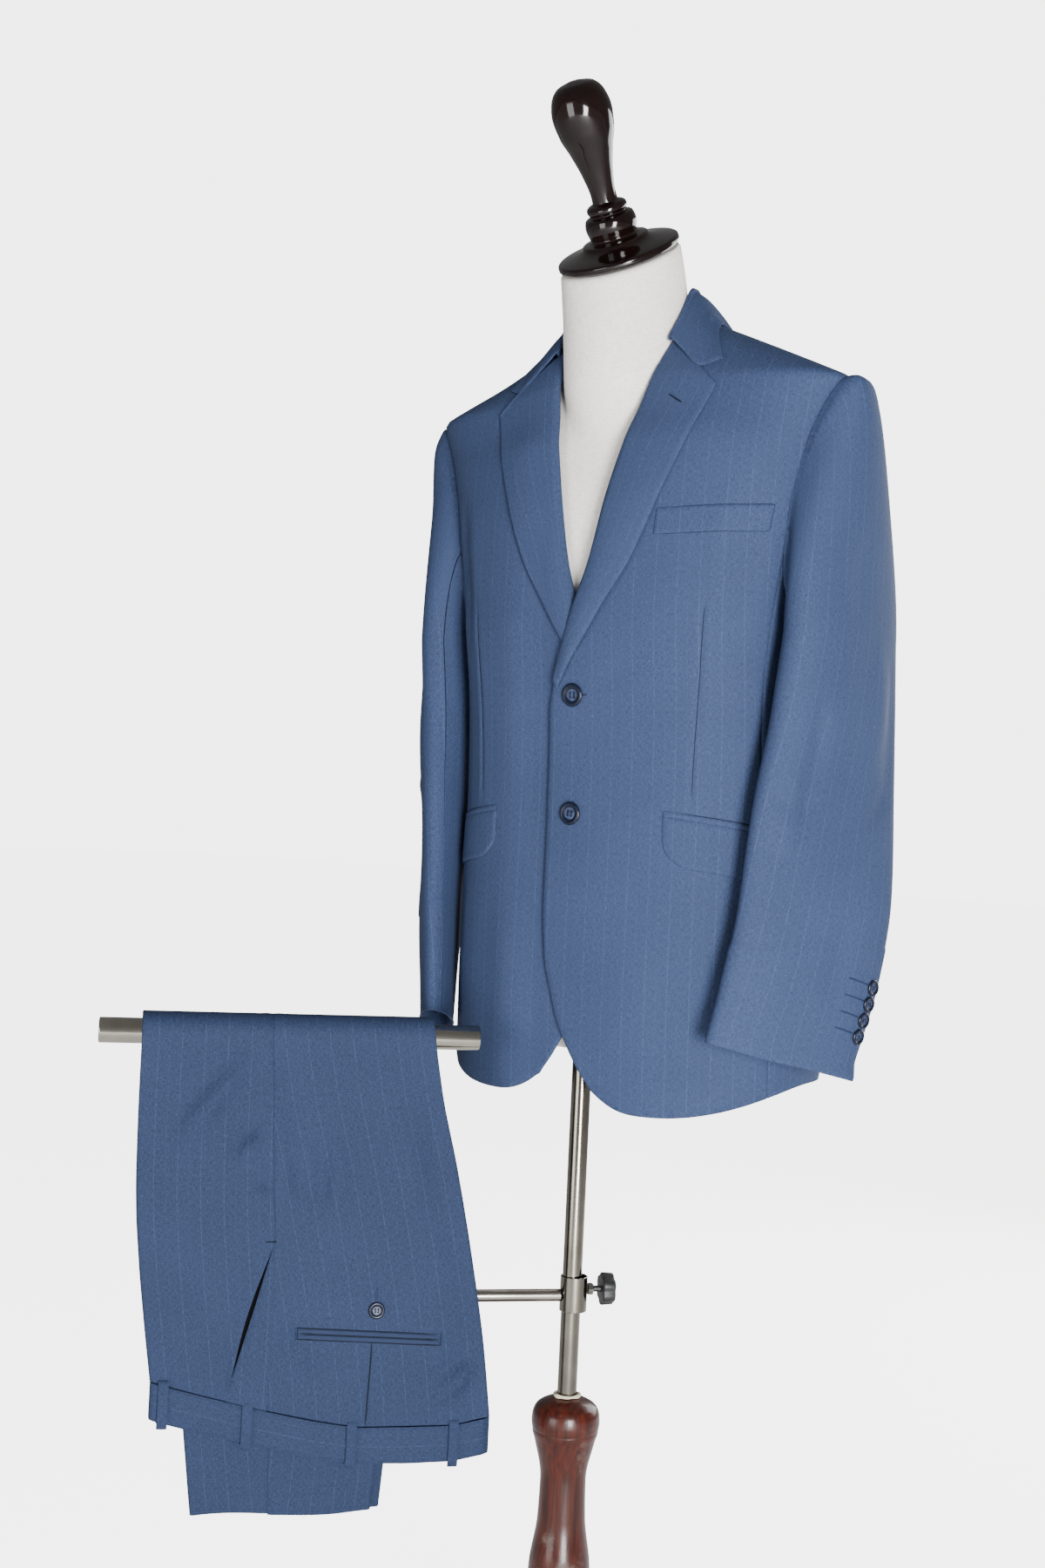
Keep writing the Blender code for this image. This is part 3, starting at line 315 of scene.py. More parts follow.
def suitingFinish(name, base, shade, stripe, lengthwise=True):
    # worsted wool: a fine dry weave of light and dark threads with dashed pinstripes, soft sheen, no gloss
    finish, tree, shader = newFinish(name)
    weave = addNode(tree, "ShaderNodeUVMap", {}, uv_map="weave")
    turned = addMapping(tree, weave, Rotation=(0, 0, 0 if lengthwise else math.pi / 2))
    apart = addNode(tree, "ShaderNodeSeparateXYZ", {0: turned})

    def threads(across, along, detail):
        # threads drawn 1 mm wide, three times coarser than yarn, so that they show
        scaled = addMapping(tree, turned, Scale=(1 / across, 1 / along, 1))
        return addNoise(tree, scaled, 1.0, detail, Roughness=0.6)

    def line(shift, dash, strength):
        # one set of pinstripes: where they lie between two others, and the length of a dash in metres
        moved = addMath(tree, "MULTIPLY_ADD", apart, 1 / stripes["spacing"], shift)
        middle = addMath(tree, "SUBTRACT", addMath(tree, "FRACT", moved), 0.5)
        edge = stripes["width"] / stripes["spacing"] / 2
        core = addRange(tree, addMath(tree, "ABSOLUTE", middle), edge * 0.5, edge * 1.5, 1.0, 0.0)
        pick = addRange(tree, threads(0.004, dash, 0.0), 0.36, 0.58, 0.25)
        return addMath(tree, "MULTIPLY", addMath(tree, "MULTIPLY", core, pick), strength)

    both = addMath(tree, "ADD", threads(0.0009, 0.0040, 2.0), threads(0.0030, 0.0009, 2.0))
    ground = addMix(tree, addRange(tree, both, 0.72, 1.28), toLinear(shade), toLinear(base))
    drift = addRange(tree, addNoise(tree, turned, 9.0, 2.0), 0.3, 0.7, 0.94, 1.05)
    tinted = addNode(tree, "ShaderNodeHueSaturation", {"Value": drift, "Color": ground})
    share = addMath(tree, "ADD", line(*stripes["strong"]), line(*stripes["faint"]))
    fillInputs(tree, shader, {
        "Base Color": addMix(tree, share, tinted, toLinear(stripe)),
        "Roughness": 0.78,
        "Specular IOR Level": 0.12,
        "Sheen Weight": 0.05,
        "Sheen Roughness": 0.45,
        "Sheen Tint": toLinear("#6f88b4"),
        "Normal": addRelief(tree, both, 0.25, 0.0002),
    })
    return finish


# base, dark thread and stripe colours; the trousers are the same cloth painted darker, as painted shade for
# the dimmer light that falls on them
cloth = {
    "jacket": ("#364461", "#262f49", "#4b608a"),
    "trousers": ("#29354f", "#1b2338", "#3b4d72"),
}
worsted = suitingFinish("pinstriped_worsted", *cloth["jacket"])
worstedTrousersShaded = suitingFinish("pinstriped_worsted_trousers_painted_shade", *cloth["trousers"])
worstedCrossShaded = suitingFinish("pinstriped_worsted_crosswise_painted_shade", *cloth["trousers"], lengthwise=False)


def plainFinish(name, light, dark, roughness, grain, specular=0.5, metallic=0.0, coat=0.0, bump=0.0):
    # two close colours in a fine noise; grain is the noise's size and bump its depth, in metres
    finish, tree, shader = newFinish(name)
    place = addNode(tree, "ShaderNodeTexCoord", {}, "Object")
    noise = addNoise(tree, place, 1 / grain, 3.0)
    fillInputs(tree, shader, {
        "Base Color": addMix(tree, addRange(tree, noise, 0.3, 0.7), toLinear(dark), toLinear(light)),
        "Roughness": roughness,
        "Metallic": metallic,
        "Specular IOR Level": specular,
        "Coat Weight": coat,
        "Coat Roughness": 0.04,
    })
    if bump:
        fillInputs(tree, shader, {"Normal": addRelief(tree, noise, 0.5, bump)})
    return finish


# moulded polyester resin, polished: deep navy with a gloss
resin = plainFinish("polyester_resin_navy", "#0f1628", "#0a0f1d", 0.26, 0.002, 0.25)
# the same resin, lighter in a mottle, on each button's dished face: painted sheen standing in for the light
# that the face reflects
resinPaintedSheen = plainFinish("polyester_resin_painted_sheen", "#3a4769", "#11182c", 0.3, 0.005, 0.3)
# polyester sewing thread, matt, a shade darker than the cloth; the darker one is both dark thread and
# painted shade, laid as cords and discs along seams, in slits and in holes where shade falls
thread = plainFinish("polyester_thread_blue", "#1f2c48", "#141f36", 0.75, 0.0006, 0.2)
darkThreadAndShade = plainFinish("polyester_thread_dark_and_painted_shade", "#0d1626", "#080e1a", 0.75, 0.0006, 0.15)
# black, matt: painted shade, a sheet in the place of the pocket lining seen through the slant pocket's
# opening
pocketShade = plainFinish("black_painted_pocket_shade", "#040405", "#040405", 0.9, 0.001, 0.1)
# shellac on turned hardwood: almost black, mirror gloss
lacquer = plainFinish("lacquered_hardwood", "#120706", "#0a0403", 0.1, 0.02, 0.35, coat=0.1)
# nickel plate on steel tube: warm grey metal, softly polished; the pole and the clamp take a darker copy,
# painted shade for the dimmer light they reflect
nickel = plainFinish("nickel_plated_steel", "#b3aea4", "#a09b92", 0.17, 0.03, metallic=1.0)
nickelPaintedShade = plainFinish("nickel_plated_steel_painted_shade", "#7d786f", "#6a665e", 0.15, 0.03, metallic=1.0)
# moulded nylon, black, matt
nylon = plainFinish("moulded_nylon_black", "#1b1c1e", "#121315", 0.45, 0.001, bump=0.0002)
# glazing putty, pressed by hand: pale buff, matt
putty = plainFinish("glazing_putty", "#cfc7b4", "#b9b09b", 0.8, 0.002, bump=0.0004)


def coverFinish():
    # calico stretched over the form: off white, plain weave, matt
    finish, tree, shader = newFinish("stretched_calico")
    place = addNode(tree, "ShaderNodeTexCoord", {}, "Object")
    fine, coarse = 700, 160
    warp = addNoise(tree, addMapping(tree, place, Scale=(fine, fine, coarse)), 1.0, 1.0)
    weft = addNoise(tree, addMapping(tree, place, Scale=(coarse, coarse, fine)), 1.0, 1.0)
    both = addMath(tree, "ADD", warp, weft)
    ground = addMix(tree, addRange(tree, both, 0.7, 1.3), toLinear("#dcd8cf"), toLinear("#efece6"))
    soiled = addRange(tree, addNoise(tree, place, 14.0, 3.0), 0.45, 0.75, 0.0, 0.25)
    fillInputs(tree, shader, {
        "Base Color": addMix(tree, soiled, ground, toLinear("#cfc9bb")),
        "Roughness": 0.9,
        "Normal": addRelief(tree, both, 0.3, 0.0004),
    })
    return finish


def postFinish():
    # mahogany stained beech: varnished red brown with a long grain, rubbed grey on its high places
    finish, tree, shader = newFinish("stained_beech_worn")
    place = addNode(tree, "ShaderNodeTexCoord", {}, "Object")
    grain = addNoise(tree, addMapping(tree, place, Scale=(260, 260, 9)), 1.0, 4.0, Distortion=0.4)
    wood = addMix(tree, addRange(tree, grain, 0.3, 0.7), toLinear("#210d09"), toLinear("#45190f"))
    patch = addRange(tree, addNoise(tree, place, 26.0, 6.0, Roughness=0.7), 0.56, 0.66, 0.0, 0.55)
    fillInputs(tree, shader, {
        "Base Color": addMix(tree, patch, wood, toLinear("#5e5049")),
        "Roughness": addRange(tree, patch, 0.0, 0.55, 0.28, 0.6),
        "Coat Weight": 0.1,
        "Specular IOR Level": 0.3,
        "Normal": addRelief(tree, grain, 0.4, 0.0004),
    })
    return finish


calico = coverFinish()
beech = postFinish()
print("finishes made")


# ---- the jacket's form: height, half width, depth before and behind, and the y between them ----

jacketForm = (
    (0.640, 0.197, 0.128, 0.133, 0.095),
    (0.740, 0.196, 0.130, 0.133, 0.092),
    (0.850, 0.192, 0.123, 0.130, 0.083),
    (0.950, 0.185, 0.110, 0.125, 0.070),
    (1.060, 0.180, 0.098, 0.120, 0.053),
    (1.150, 0.186, 0.100, 0.125, 0.047),
    (1.240, 0.200, 0.097, 0.130, 0.047),
    (1.310, 0.212, 0.088, 0.130, 0.048),
    (1.350, 0.224, 0.073, 0.125, 0.048),
    (1.375, 0.233, 0.066, 0.112, 0.049),
    (1.400, 0.178, 0.060, 0.090, 0.055),
    (1.425, 0.124, 0.052, 0.068, 0.061),
    (1.445, 0.080, 0.044, 0.050, 0.066),
)
# heights where the shoulder's pad starts, of the shoulder's tip and of the neck
padZ = 1.310
tipZ = 1.375
neckZ = 1.445
squareness = 2.3
# half a seam's width, in degrees round the body
seamWidth = 0.12

frontEdge = (
    (0.666, 0.048), (0.686, 0.033), (0.708, 0.0156), (0.745, -0.005), (0.777, -0.0153),
    (0.811, -0.0242), (0.856, -0.0277), (0.950, -0.0280), (1.050, -0.0280), (1.075, -0.0240),
)
rollLine = (
    (1.075, -0.0240), (1.147, 0.0000), (1.193, 0.0163), (1.260, 0.0310), (1.330, 0.0470),
    (1.410, 0.0640), (1.445, 0.0715),
)
# the lapel: height on the roll line, x and z of its outer edge, rise
lapelShape = (
    (1.080, -0.0180, 1.073, 0.0000), (1.120, -0.0015, 1.100, 0.0034), (1.170, 0.0157, 1.124, 0.0052),
    (1.220, 0.0348, 1.154, 0.0052), (1.270, 0.0590, 1.193, 0.0044), (1.325, 0.0890, 1.268, 0.0024),
    (1.375, 0.1090, 1.322, 0.0006), (1.4174, 0.1240, 1.3645, 0.0000),
)

jacket = {
    "thickness": 0.0015,
    "hemLow": 0.666,
    "hemRise": 0.034,
    "hemStart": 0.686,
    "seamFront": (68.0, 75.0),
    "seamBack": (116.0, 113.0),
    "seamTop": 1.220,
    "waistZ": 0.9,
    "sideGap": 0.0028,
    "overlapSink": 0.0062,
    "rightDrop": 0.012,
    "rightIn": 0.006,
    "rightHemRise": 0.009,
    "armZ": 1.2675,
    "armHalf": 0.1075,
    "armFront": 16.0,
    "armBack": 24.0,
    "armShape": 0.6,
    "leafLift": 0.0016,
}


def jacketRing(z):
    t = (z - tipZ) / (neckZ - tipZ)
    above = mix(0.233, 0.080, t) + 0.006 * t * (1 - t)
    low = (z - padZ) / (tipZ - padZ)
    between = mix(0.212, 0.233, np.clip(low, 0, 1) ** 1.3)
    below = curveThrough(jacketForm[:8], z, 1)
    half = np.where(z >= tipZ, above, np.where(z > padZ, between, below))
    return half, *(curveThrough(jacketForm, z, column) for column in (2, 3, 4))


def onJacket(degrees, z):
    half, front, back, mid = jacketRing(z)
    angle = np.radians(degrees)
    depth = np.where(np.cos(angle) > 0, front, back)
    x = half * power(np.sin(angle), 2 / squareness)
    y = mid - depth * power(np.cos(angle), 2 / squareness)
    return stack(x, y, z)


def jacketNormal(degrees, z):
    across = onJacket(degrees + 0.5, z) - onJacket(degrees - 0.5, z)
    upward = onJacket(degrees, np.minimum(z + 0.002, neckZ)) - onJacket(degrees, z - 0.002)
    return unit(np.cross(across, upward))


def lifted(degrees, z, lift):
    lift = np.asarray(lift, float)
    return onJacket(degrees, z) + jacketNormal(degrees, z) * lift[..., None]


def frontAngle(x, z):
    share = np.minimum(1.0, np.abs(x) / jacketRing(z)[0])
    return np.sign(x) * np.degrees(np.arcsin(share ** (squareness / 2)))


def sinkDepth(x, z):
    # the right front goes down under the left one near their overlap
    return jacket["overlapSink"] * smooth((x + 0.085) / 0.05) * smooth((1.42 - z) / 0.12)


def hemZ(degrees):
    return jacket["hemLow"] + jacket["hemRise"] * smooth((np.abs(degrees) - 24) / 70)


def armEdge(z, reach):
    cosine = np.clip((z - jacket["armZ"]) / jacket["armHalf"], -1, 1)
    return reach * np.sqrt(1 - cosine * cosine) ** jacket["armShape"]


def seamRise(z):
    # the side seams start to lean towards the armhole above the waist
    return smooth((z - jacket["waistZ"]) / (jacket["seamTop"] - jacket["waistZ"]))


def sideEdge(z, seam, reach, sign):
    t = seamRise(z)
    low = mix(seam[0], 90 + sign * armEdge(np.full_like(z, jacket["seamTop"]), reach), t)
    high = 90 + sign * armEdge(z, reach)
    return np.where(z < jacket["seamTop"], low, np.where(z < tipZ, high, 90.0))


def seamDegrees(z):
    return mix(seamWidth, seamWidth / 2, smooth((z - tipZ + 0.02) / 0.03))


def panelRise(v):
    return 1 - (1 - v) ** 1.35


def toRight(points):
    # the wearer's right is the mirror of the left, with a lower shoulder
    x, y, z = points[..., 0], points[..., 1], points[..., 2]
    drop = jacket["rightDrop"] * smooth((z - 1.05) / 0.30) * smooth((np.abs(x) - 0.04) / 0.12)
    inward = jacket["rightIn"] * smooth((x - 0.10) / 0.10) * smooth((1.37 - z) / 0.10)
    return stack(inward - x, y, z - drop)


ringHeights = np.linspace(0.640, neckZ, 130)
ringDegrees = np.linspace(0, 180, 361)
ringPoints = onJacket(*np.meshgrid(ringDegrees, ringHeights))
ringArcs = arcAlong(ringPoints, 1)


def ringArc(degrees, z):
    # metres along the cloth from the front's middle
    row = np.clip((z - ringHeights[0]) / (ringHeights[1] - ringHeights[0]), 0, len(ringHeights) - 1.001)
    column = np.clip(np.abs(degrees) * 2, 0, len(ringDegrees) - 1.001)
    i, j = row.astype(int), column.astype(int)
    a, b = row - i, column - j
    low = mix(ringArcs[i, j], ringArcs[i, j + 1], b)
    high = mix(ringArcs[i + 1, j], ringArcs[i + 1, j + 1], b)
    return np.sign(degrees) * mix(low, high, a)


def finished(points, normals, height):
    return points + normals * height[..., None]


# ---- fronts ----

frontPiece = {
    "size": (84, 150),
    "dartTop": 1.174,
    "dartBottom": 0.952,
    "dartX": (
        (0.900, 0.1180), (0.964, 0.1203), (1.015, 0.1221),
        (1.100, 0.1278), (1.153, 0.1314), (1.200, 0.1350),
    ),
    "dartSeam": ((0.0009, 0.0022), (0.0007, 0.006, 0.006)),
    "edgeRoll": 0.0011,
    "seamRoll": 0.0009,
    "corner": (0.25, 2.6),
}
# soft creases: points (metres round from the front's middle, height), half width, height, peak
frontCreases = (
    (((0.020, 1.070), (0.070, 1.098), (0.115, 1.108)), 0.012, -0.0012, 0.2),
    (((0.020, 1.058), (0.075, 1.040), (0.120, 1.046)), 0.013, -0.0010, 0.25),
    (((0.022, 0.950), (0.070, 0.972), (0.120, 1.000)), 0.014, -0.0008, 0.3),
    (((0.178, 1.300), (0.172, 1.225), (0.160, 1.150), (0.156, 1.090)), 0.016, -0.0042, 0.45),
    (((0.152, 1.285), (0.146, 1.215), (0.138, 1.150)), 0.014, 0.0018, 0.5),
    (((0.150, 0.900), (0.158, 0.800), (0.152, 0.700)), 0.020, 0.0022, 0.6),
    (((0.060, 0.880), (0.066, 0.790), (0.050, 0.700)), 0.026, 0.0016, 0.7),
    (((0.105, 0.900), (0.108, 0.800), (0.100, 0.690)), 0.020, -0.0016, 0.6),
)


def shareWithDart(share, hold, dart):
    # one column stays on the dart, so that its seam is a fine groove
    return np.where(share < hold, share / hold * dart, dart + (share - hold) / (1 - hold) * (1 - dart))


def frontPlace(isRight):
    def place(u, v):
        bottom = jacket["hemStart"]
        z = mix(bottom, neckZ - 0.001, panelRise(v))
        innerX = np.where(z > rollLine[0][0], curveThrough(rollLine, z, 1), curveThrough(frontEdge, z, 1))
        inner = frontAngle(innerX, z)
        outer = sideEdge(z, jacket["seamFront"], jacket["armFront"], -1) - seamDegrees(z)
        dart = frontAngle(curveThrough(frontPiece["dartX"], z, 1), z)
        share = shareWithDart(u, 0.5, (dart - inner) / (outer - inner))
        degrees = mix(inner, outer, share)
        # the front's lower corner is round
        reach, sharpness = frontPiece["corner"]
        lowered = (hemZ(degrees) - bottom) * (1 - v) ** 3
        z = z + lowered * (1 - (1 - np.clip(share / reach, 0, 1)) ** sharpness)
        points = onJacket(degrees, z)
        normals = jacketNormal(degrees, z)
        across = ringArc(degrees, z)
        height = creaseField(across, z, frontCreases)
        inDart = smooth((z - frontPiece["dartBottom"]) / 0.02) * smooth((frontPiece["dartTop"] - z) / 0.03)
        height += inDart * seamHeight(np.abs(across - ringArc(dart, z)), *frontPiece["dartSeam"])
        height += rolledEdges(points, ["start", "bottom"], frontPiece["edgeRoll"], 0.004)
        height += rolledEdges(points, ["end"], frontPiece["seamRoll"], 0.004)
        if isRight:
            height = height - sinkDepth(-points[..., 0], points[..., 2])
        points = finished(points, normals, height)
        if isRight:
            points[..., 2] += jacket["rightHemRise"] * (1 - v) ** 3
        return points, across, z
    return place


sides = ("left", "right")


def onTheRight(place):
    def mirroredPlace(u, v):
        points, across, along = place(1 - u, v)
        return toRight(points), -across, along
    return mirroredPlace


def onSide(place, side):
    return onTheRight(place) if side == "right" else place


def addPanel(name, size, place, side, node, thickness=jacket["thickness"], offset=1.0):
    # a piece of the jacket's cloth, mirrored for its right side
    return addCloth(name, size, onSide(place, side), worsted, "stand", node, thickness, offset)


def makeFronts():
    for side in sides:
        place = frontPlace(side == "right")
        panel = addPanel(f"front_{side}", frontPiece["size"], place, side, f"jacket_front_{side}")


makeFronts()


# ---- sides and backs ----

bodyPieces = {
    "back": {"size": (64, 120), "area": 0.185, "flat": (0.27, 0.80)},
    "side": {"size": (40, 84), "area": 0.066, "flat": (0.16, 0.47)},
    "edgeRoll": 0.0009,
    "middleRoll": 0.0008,
}
backCreases = (
    (((0.40, 1.330), (0.345, 1.300), (0.300, 1.280)), 0.016, -0.0022, 0.4),
    (((0.285, 1.200), (0.300, 1.100), (0.310, 1.000)), 0.020, 0.0022, 0.5),
    (((0.330, 1.120), (0.345, 1.020), (0.340, 0.930)), 0.020, -0.0020, 0.5),
    (((0.300, 0.900), (0.310, 0.800), (0.305, 0.710)), 0.024, 0.0030, 0.7),
    (((0.365, 0.880), (0.372, 0.790), (0.368, 0.710)), 0.020, -0.0022, 0.7),
)


def backPlace(u, v):
    z = mix(jacket["hemLow"] + jacket["hemRise"], neckZ - 0.001, panelRise(v))
    outer = sideEdge(z, jacket["seamBack"], jacket["armBack"], 1) + seamDegrees(z)
    degrees = mix(outer, 179.99, u)
    points = onJacket(degrees, z)
    across = ringArc(degrees, z)
    height = creaseField(across, z, backCreases)
    height += rolledEdges(points, ["start", "bottom"], bodyPieces["edgeRoll"], 0.004)
    height += rolledEdges(points, ["end"], bodyPieces["middleRoll"], 0.003)
    whole = ringArc(np.full_like(z, 180.0), z)
    return finished(points, jacketNormal(degrees, z), height), across - whole, z


def sidePlace(u, v):
    seamFront, seamBack = jacket["seamFront"][0], jacket["seamBack"][0]
    low = mix(seamFront, seamBack, u)
    top = np.full_like(u, jacket["seamTop"])
    high = mix(90 - armEdge(top, jacket["armFront"]), 90 + armEdge(top, jacket["armBack"]), u)
    reach = np.where(high < 90, jacket["armFront"], jacket["armBack"])
    share = (np.abs(high - 90) / reach) ** (1 / jacket["armShape"])
    depth = jacket["armHalf"] * np.sqrt(np.clip(1 - share * share, 0, 1))
    topZ = jacket["armZ"] - depth - jacket["sideGap"]
    z = mix(hemZ(low), topZ, v)
    degrees = mix(low, high, seamRise(z)) + mix(seamWidth, -seamWidth, u)
    points = onJacket(degrees, z)
    height = rolledEdges(points, ["start", "end", "bottom"], bodyPieces["edgeRoll"], 0.004)
    return finished(points, jacketNormal(degrees, z), height), ringArc(degrees, z), z


def makeSidesAndBacks():
    for side in sides:
        for name, place in (("back", backPlace), ("side", sidePlace)):
            piece = bodyPieces[name]
            panel = addPanel(f"{name}_{side}", piece["size"], place, side, f"jacket_{name}_{side}")


makeSidesAndBacks()
print("jacket body made")


# ---- sleeves: height, centre x and y, half length and thickness, and their turn from X ----

sleeveForm = (
    (1.130, 0.2220, 0.078, 0.086, 0.030, 84.0),
    (1.060, 0.2205, 0.075, 0.087, 0.029, 79.0),
    (0.980, 0.2205, 0.063, 0.087, 0.025, 71.0),
    (0.880, 0.2215, 0.050, 0.085, 0.0205, 62.0),
    (0.800, 0.2145, 0.037, 0.083, 0.0185, 58.0),
    (0.727, 0.2025, 0.021, 0.080, 0.016, 56.0),
)
sleevePiece = {
    "cuffDrop": 0.036,
    "cap": 0.034,
    "capShare": 0.30,
    "lap": (0.35, 2.0),
    "inset": 0.0013,
    "clear": (0.0013, 0.0010),
    "seams": (-112.0, 112.0),
    "seamGap": 0.18,
    "handles": (0.55, 0.004, 0.010),
    "headRise": 0.0022,
    "ventStep": 0.0009,
    "top": {"size": (64, 150), "area": 0.128, "flat": (0.24, 0.65)},
    "under": {"size": (34, 150), "area": 0.067, "flat": (0.14, 0.65)},
}
# creases on the top sleeve: points (metres round from its middle, height), half width, height, peak
sleeveCreases = (
    (((-0.060, 1.090), (-0.045, 1.010), (-0.050, 0.930)), 0.013, -0.0040, 0.4),
    (((-0.075, 1.020), (-0.058, 0.950), (-0.064, 0.880)), 0.011, 0.0030, 0.5),
    (((-0.088, 0.985), (-0.060, 0.965), (-0.020, 0.975)), 0.010, -0.0026, 0.3),
    (((-0.088, 0.935), (-0.055, 0.915), (-0.015, 0.925)), 0.010, -0.0022, 0.3),
    (((0.020, 1.150), (0.030, 1.060), (0.022, 0.960)), 0.018, 0.0030, 0.4),
    (((0.050, 1.130), (0.062, 1.040), (0.058, 0.930)), 0.015, -0.0034, 0.5),
    (((0.000, 1.250), (-0.020, 1.190), (-0.030, 1.130)), 0.015, -0.0018, 0.6),
    (((0.030, 0.900), (0.022, 0.830), (0.030, 0.760)), 0.016, -0.0022, 0.5),
    (((-0.030, 0.880), (-0.038, 0.810), (-0.030, 0.750)), 0.018, 0.0022, 0.5),
    (((0.060, 0.985), (0.040, 0.960), (0.010, 0.965)), 0.009, -0.0022, 0.2),
)


def sleeveSection(turn, z):
    x, y, length, thickness, heading = (curveThrough(sleeveForm, z, column) for column in range(1, 6))
    heading = np.radians(heading)
    angle = np.radians(turn)
    along = length * power(np.sin(angle), 0.92)
    out = thickness * power(np.cos(angle), 0.92)
    return stack(x + np.cos(heading) * along + np.sin(heading) * out,
                 y + np.sin(heading) * along - np.cos(heading) * out, z)


def sleevePoint(turn, v):
    topZ, cuffZ = sleeveForm[0][0], sleeveForm[-1][0]
    capShare = sleevePiece["capShare"]
    angle = np.radians(turn)
    z = mix(cuffZ - 0.5 * sleevePiece["cuffDrop"] * np.sin(angle), topZ, v / (1 - capShare))
    lower = sleeveSection(turn, np.clip(z, cuffZ, topZ))
    lower[..., 2] = z
    # the cap: a curve from the sleeve's top up and over to the armhole
    t = np.clip((v - 1 + capShare) / capShare, 0, 1)
    start = sleeveSection(turn, np.full_like(v, topZ))
    crown = np.cos(angle)
    reach = np.where(np.sin(angle) < 0, jacket["armFront"], jacket["armBack"])
    inset = reach * power(np.sin(angle), jacket["armShape"])
    # the seam allowance laps over the body's edge, more so low down
    lap = sleevePiece["lap"][0] + sleevePiece["lap"][1] * smooth((0.6 - crown) / 0.8)
    inset = inset * (1 + lap / reach)
    height = jacket["armZ"] + (jacket["armHalf"] - sleevePiece["inset"]) * crown
    clear = sleevePiece["clear"][0] + sleevePiece["clear"][1] * np.sqrt(np.maximum(0, -crown))
    end = onJacket(90 + inset, height)
    end[..., 0] += clear
    up = np.maximum(0, end[..., 2] - start[..., 2])
    crown = np.maximum(0, crown)
    zero = np.zeros_like(up)
    share, extra, tuck = sleevePiece["handles"]
    first = start + stack(zero, zero, share * up + extra)
    bulge = sleevePiece["cap"] * (0.25 + 0.75 * crown) * smooth(up / 0.10)
    second = end + stack(bulge, zero, tuck * crown)
    t = t[..., None]
    upper = start * (1 - t) ** 3 + first * 3 * t * (1 - t) ** 2
    upper += second * 3 * t * t * (1 - t) + end * t ** 3
    return np.where((v < 1 - capShare)[..., None], lower, upper)


def sleevePlace(isTop):
    first, last = sleevePiece["seams"]
    gap = sleevePiece["seamGap"]

    def place(u, v):
        turn = mix(first + gap, last - gap, u) if isTop else mix(last + gap, first + 360 - gap, u)
        points = sleevePoint(turn, v)
        across = arcAlong(points, 1)
        across = across - across[:, -1:] / 2
        height = np.zeros_like(across)
        if isTop:
            height += creaseField(across, points[..., 2], sleeveCreases)
            crown = np.maximum(0, np.cos(np.radians(turn)))
            height += sleevePiece["headRise"] * crown * bell(v - 0.955, 0.03)
            # the cuff's vent: its upper layer ends in a low step behind the buttons
            vent = smooth((0.838 - points[..., 2]) / 0.004) * smooth((80.0 - turn) / 2.6)
            height += sleevePiece["ventStep"] * vent
        height *= smooth((1 - v) / 0.04)
        height += rolledEdges(points, ["start", "end", "bottom"], 0.0008, 0.0035)
        return finished(points, gridNormals(points), height), across, points[..., 2]
    return place


def makeSleeves():
    for side in sides:
        for part in ("top", "under"):
            piece = sleevePiece[part]
            name = f"{part}_sleeve_{side}"
            panel = addPanel(f"{name}_cloth", piece["size"], sleevePlace(part == "top"), side, name)


makeSleeves()


# ---- lapels and collar ----

lapelPiece = {
    "size": (44, 130),
    "turn": (0.14, 0.30),
    "low": -0.0022,
    "inside": 0.016,
    "rollRadius": 0.0030,
    "leftLow": 1.080,
    "rightLow": 1.118,
    "edgeCurl": 0.0009,
}


leafLift = jacket["thickness"] + jacket["leafLift"]


def lapelPlace(isRight):
    low = lapelPiece["rightLow"] if isRight else lapelPiece["leftLow"]

    def place(u, v):
        rollZ = mix(low, lapelShape[-1][0], v)
        rollX = curveThrough(rollLine, rollZ, 1) - 0.0012
        outerX = curveThrough(lapelShape, rollZ, 1)
        outerZ = curveThrough(lapelShape, rollZ, 2)
        rise = curveThrough(lapelShape, rollZ, 3)
        grow = smooth(v / 0.16)
        # from inside the front, round the roll, and out over the chest
        inner, outer = lapelPiece["turn"]
        radius = lapelPiece["rollRadius"] * mix(0.35, 1.0, grow)
        angle = np.pi * np.clip((u - inner) / (outer - inner), 0, 1)
        share = np.clip((u - outer) / (1 - outer), 0, 1)
        back = lapelPiece["inside"] * np.clip((inner - u) / inner, 0, 1) * mix(0.3, 1.0, grow)
        x = rollX + 0.0022 - radius * np.sin(angle) + back
        x = mix(x, outerX, share)
        z = mix(rollZ, outerZ, share)
        middle = (lapelPiece["low"] + leafLift) / 2
        lift = middle - (middle - lapelPiece["low"]) * np.cos(angle)
        lift = lift + rise * np.sin(np.pi * np.clip(share * 0.62 + 0.12 * grow, 0, 1)) * (angle >= np.pi)
        if isRight:
            lift = lift - sinkDepth(-x, z)
        degrees = frontAngle(x, z)
        points = lifted(degrees, z, lift)
        normals = gridNormals(points)
        edge = rolledEdges(points, ["end", "top"], lapelPiece["edgeCurl"], 0.004)
        points = finished(points, normals, edge)
        # stripes run along the outer edge, so that the weave is read from there
        length = arcAlong(points, 1)
        return points, length[:, -1:] - length + 0.006, arcAlong(points, 0)
    return place


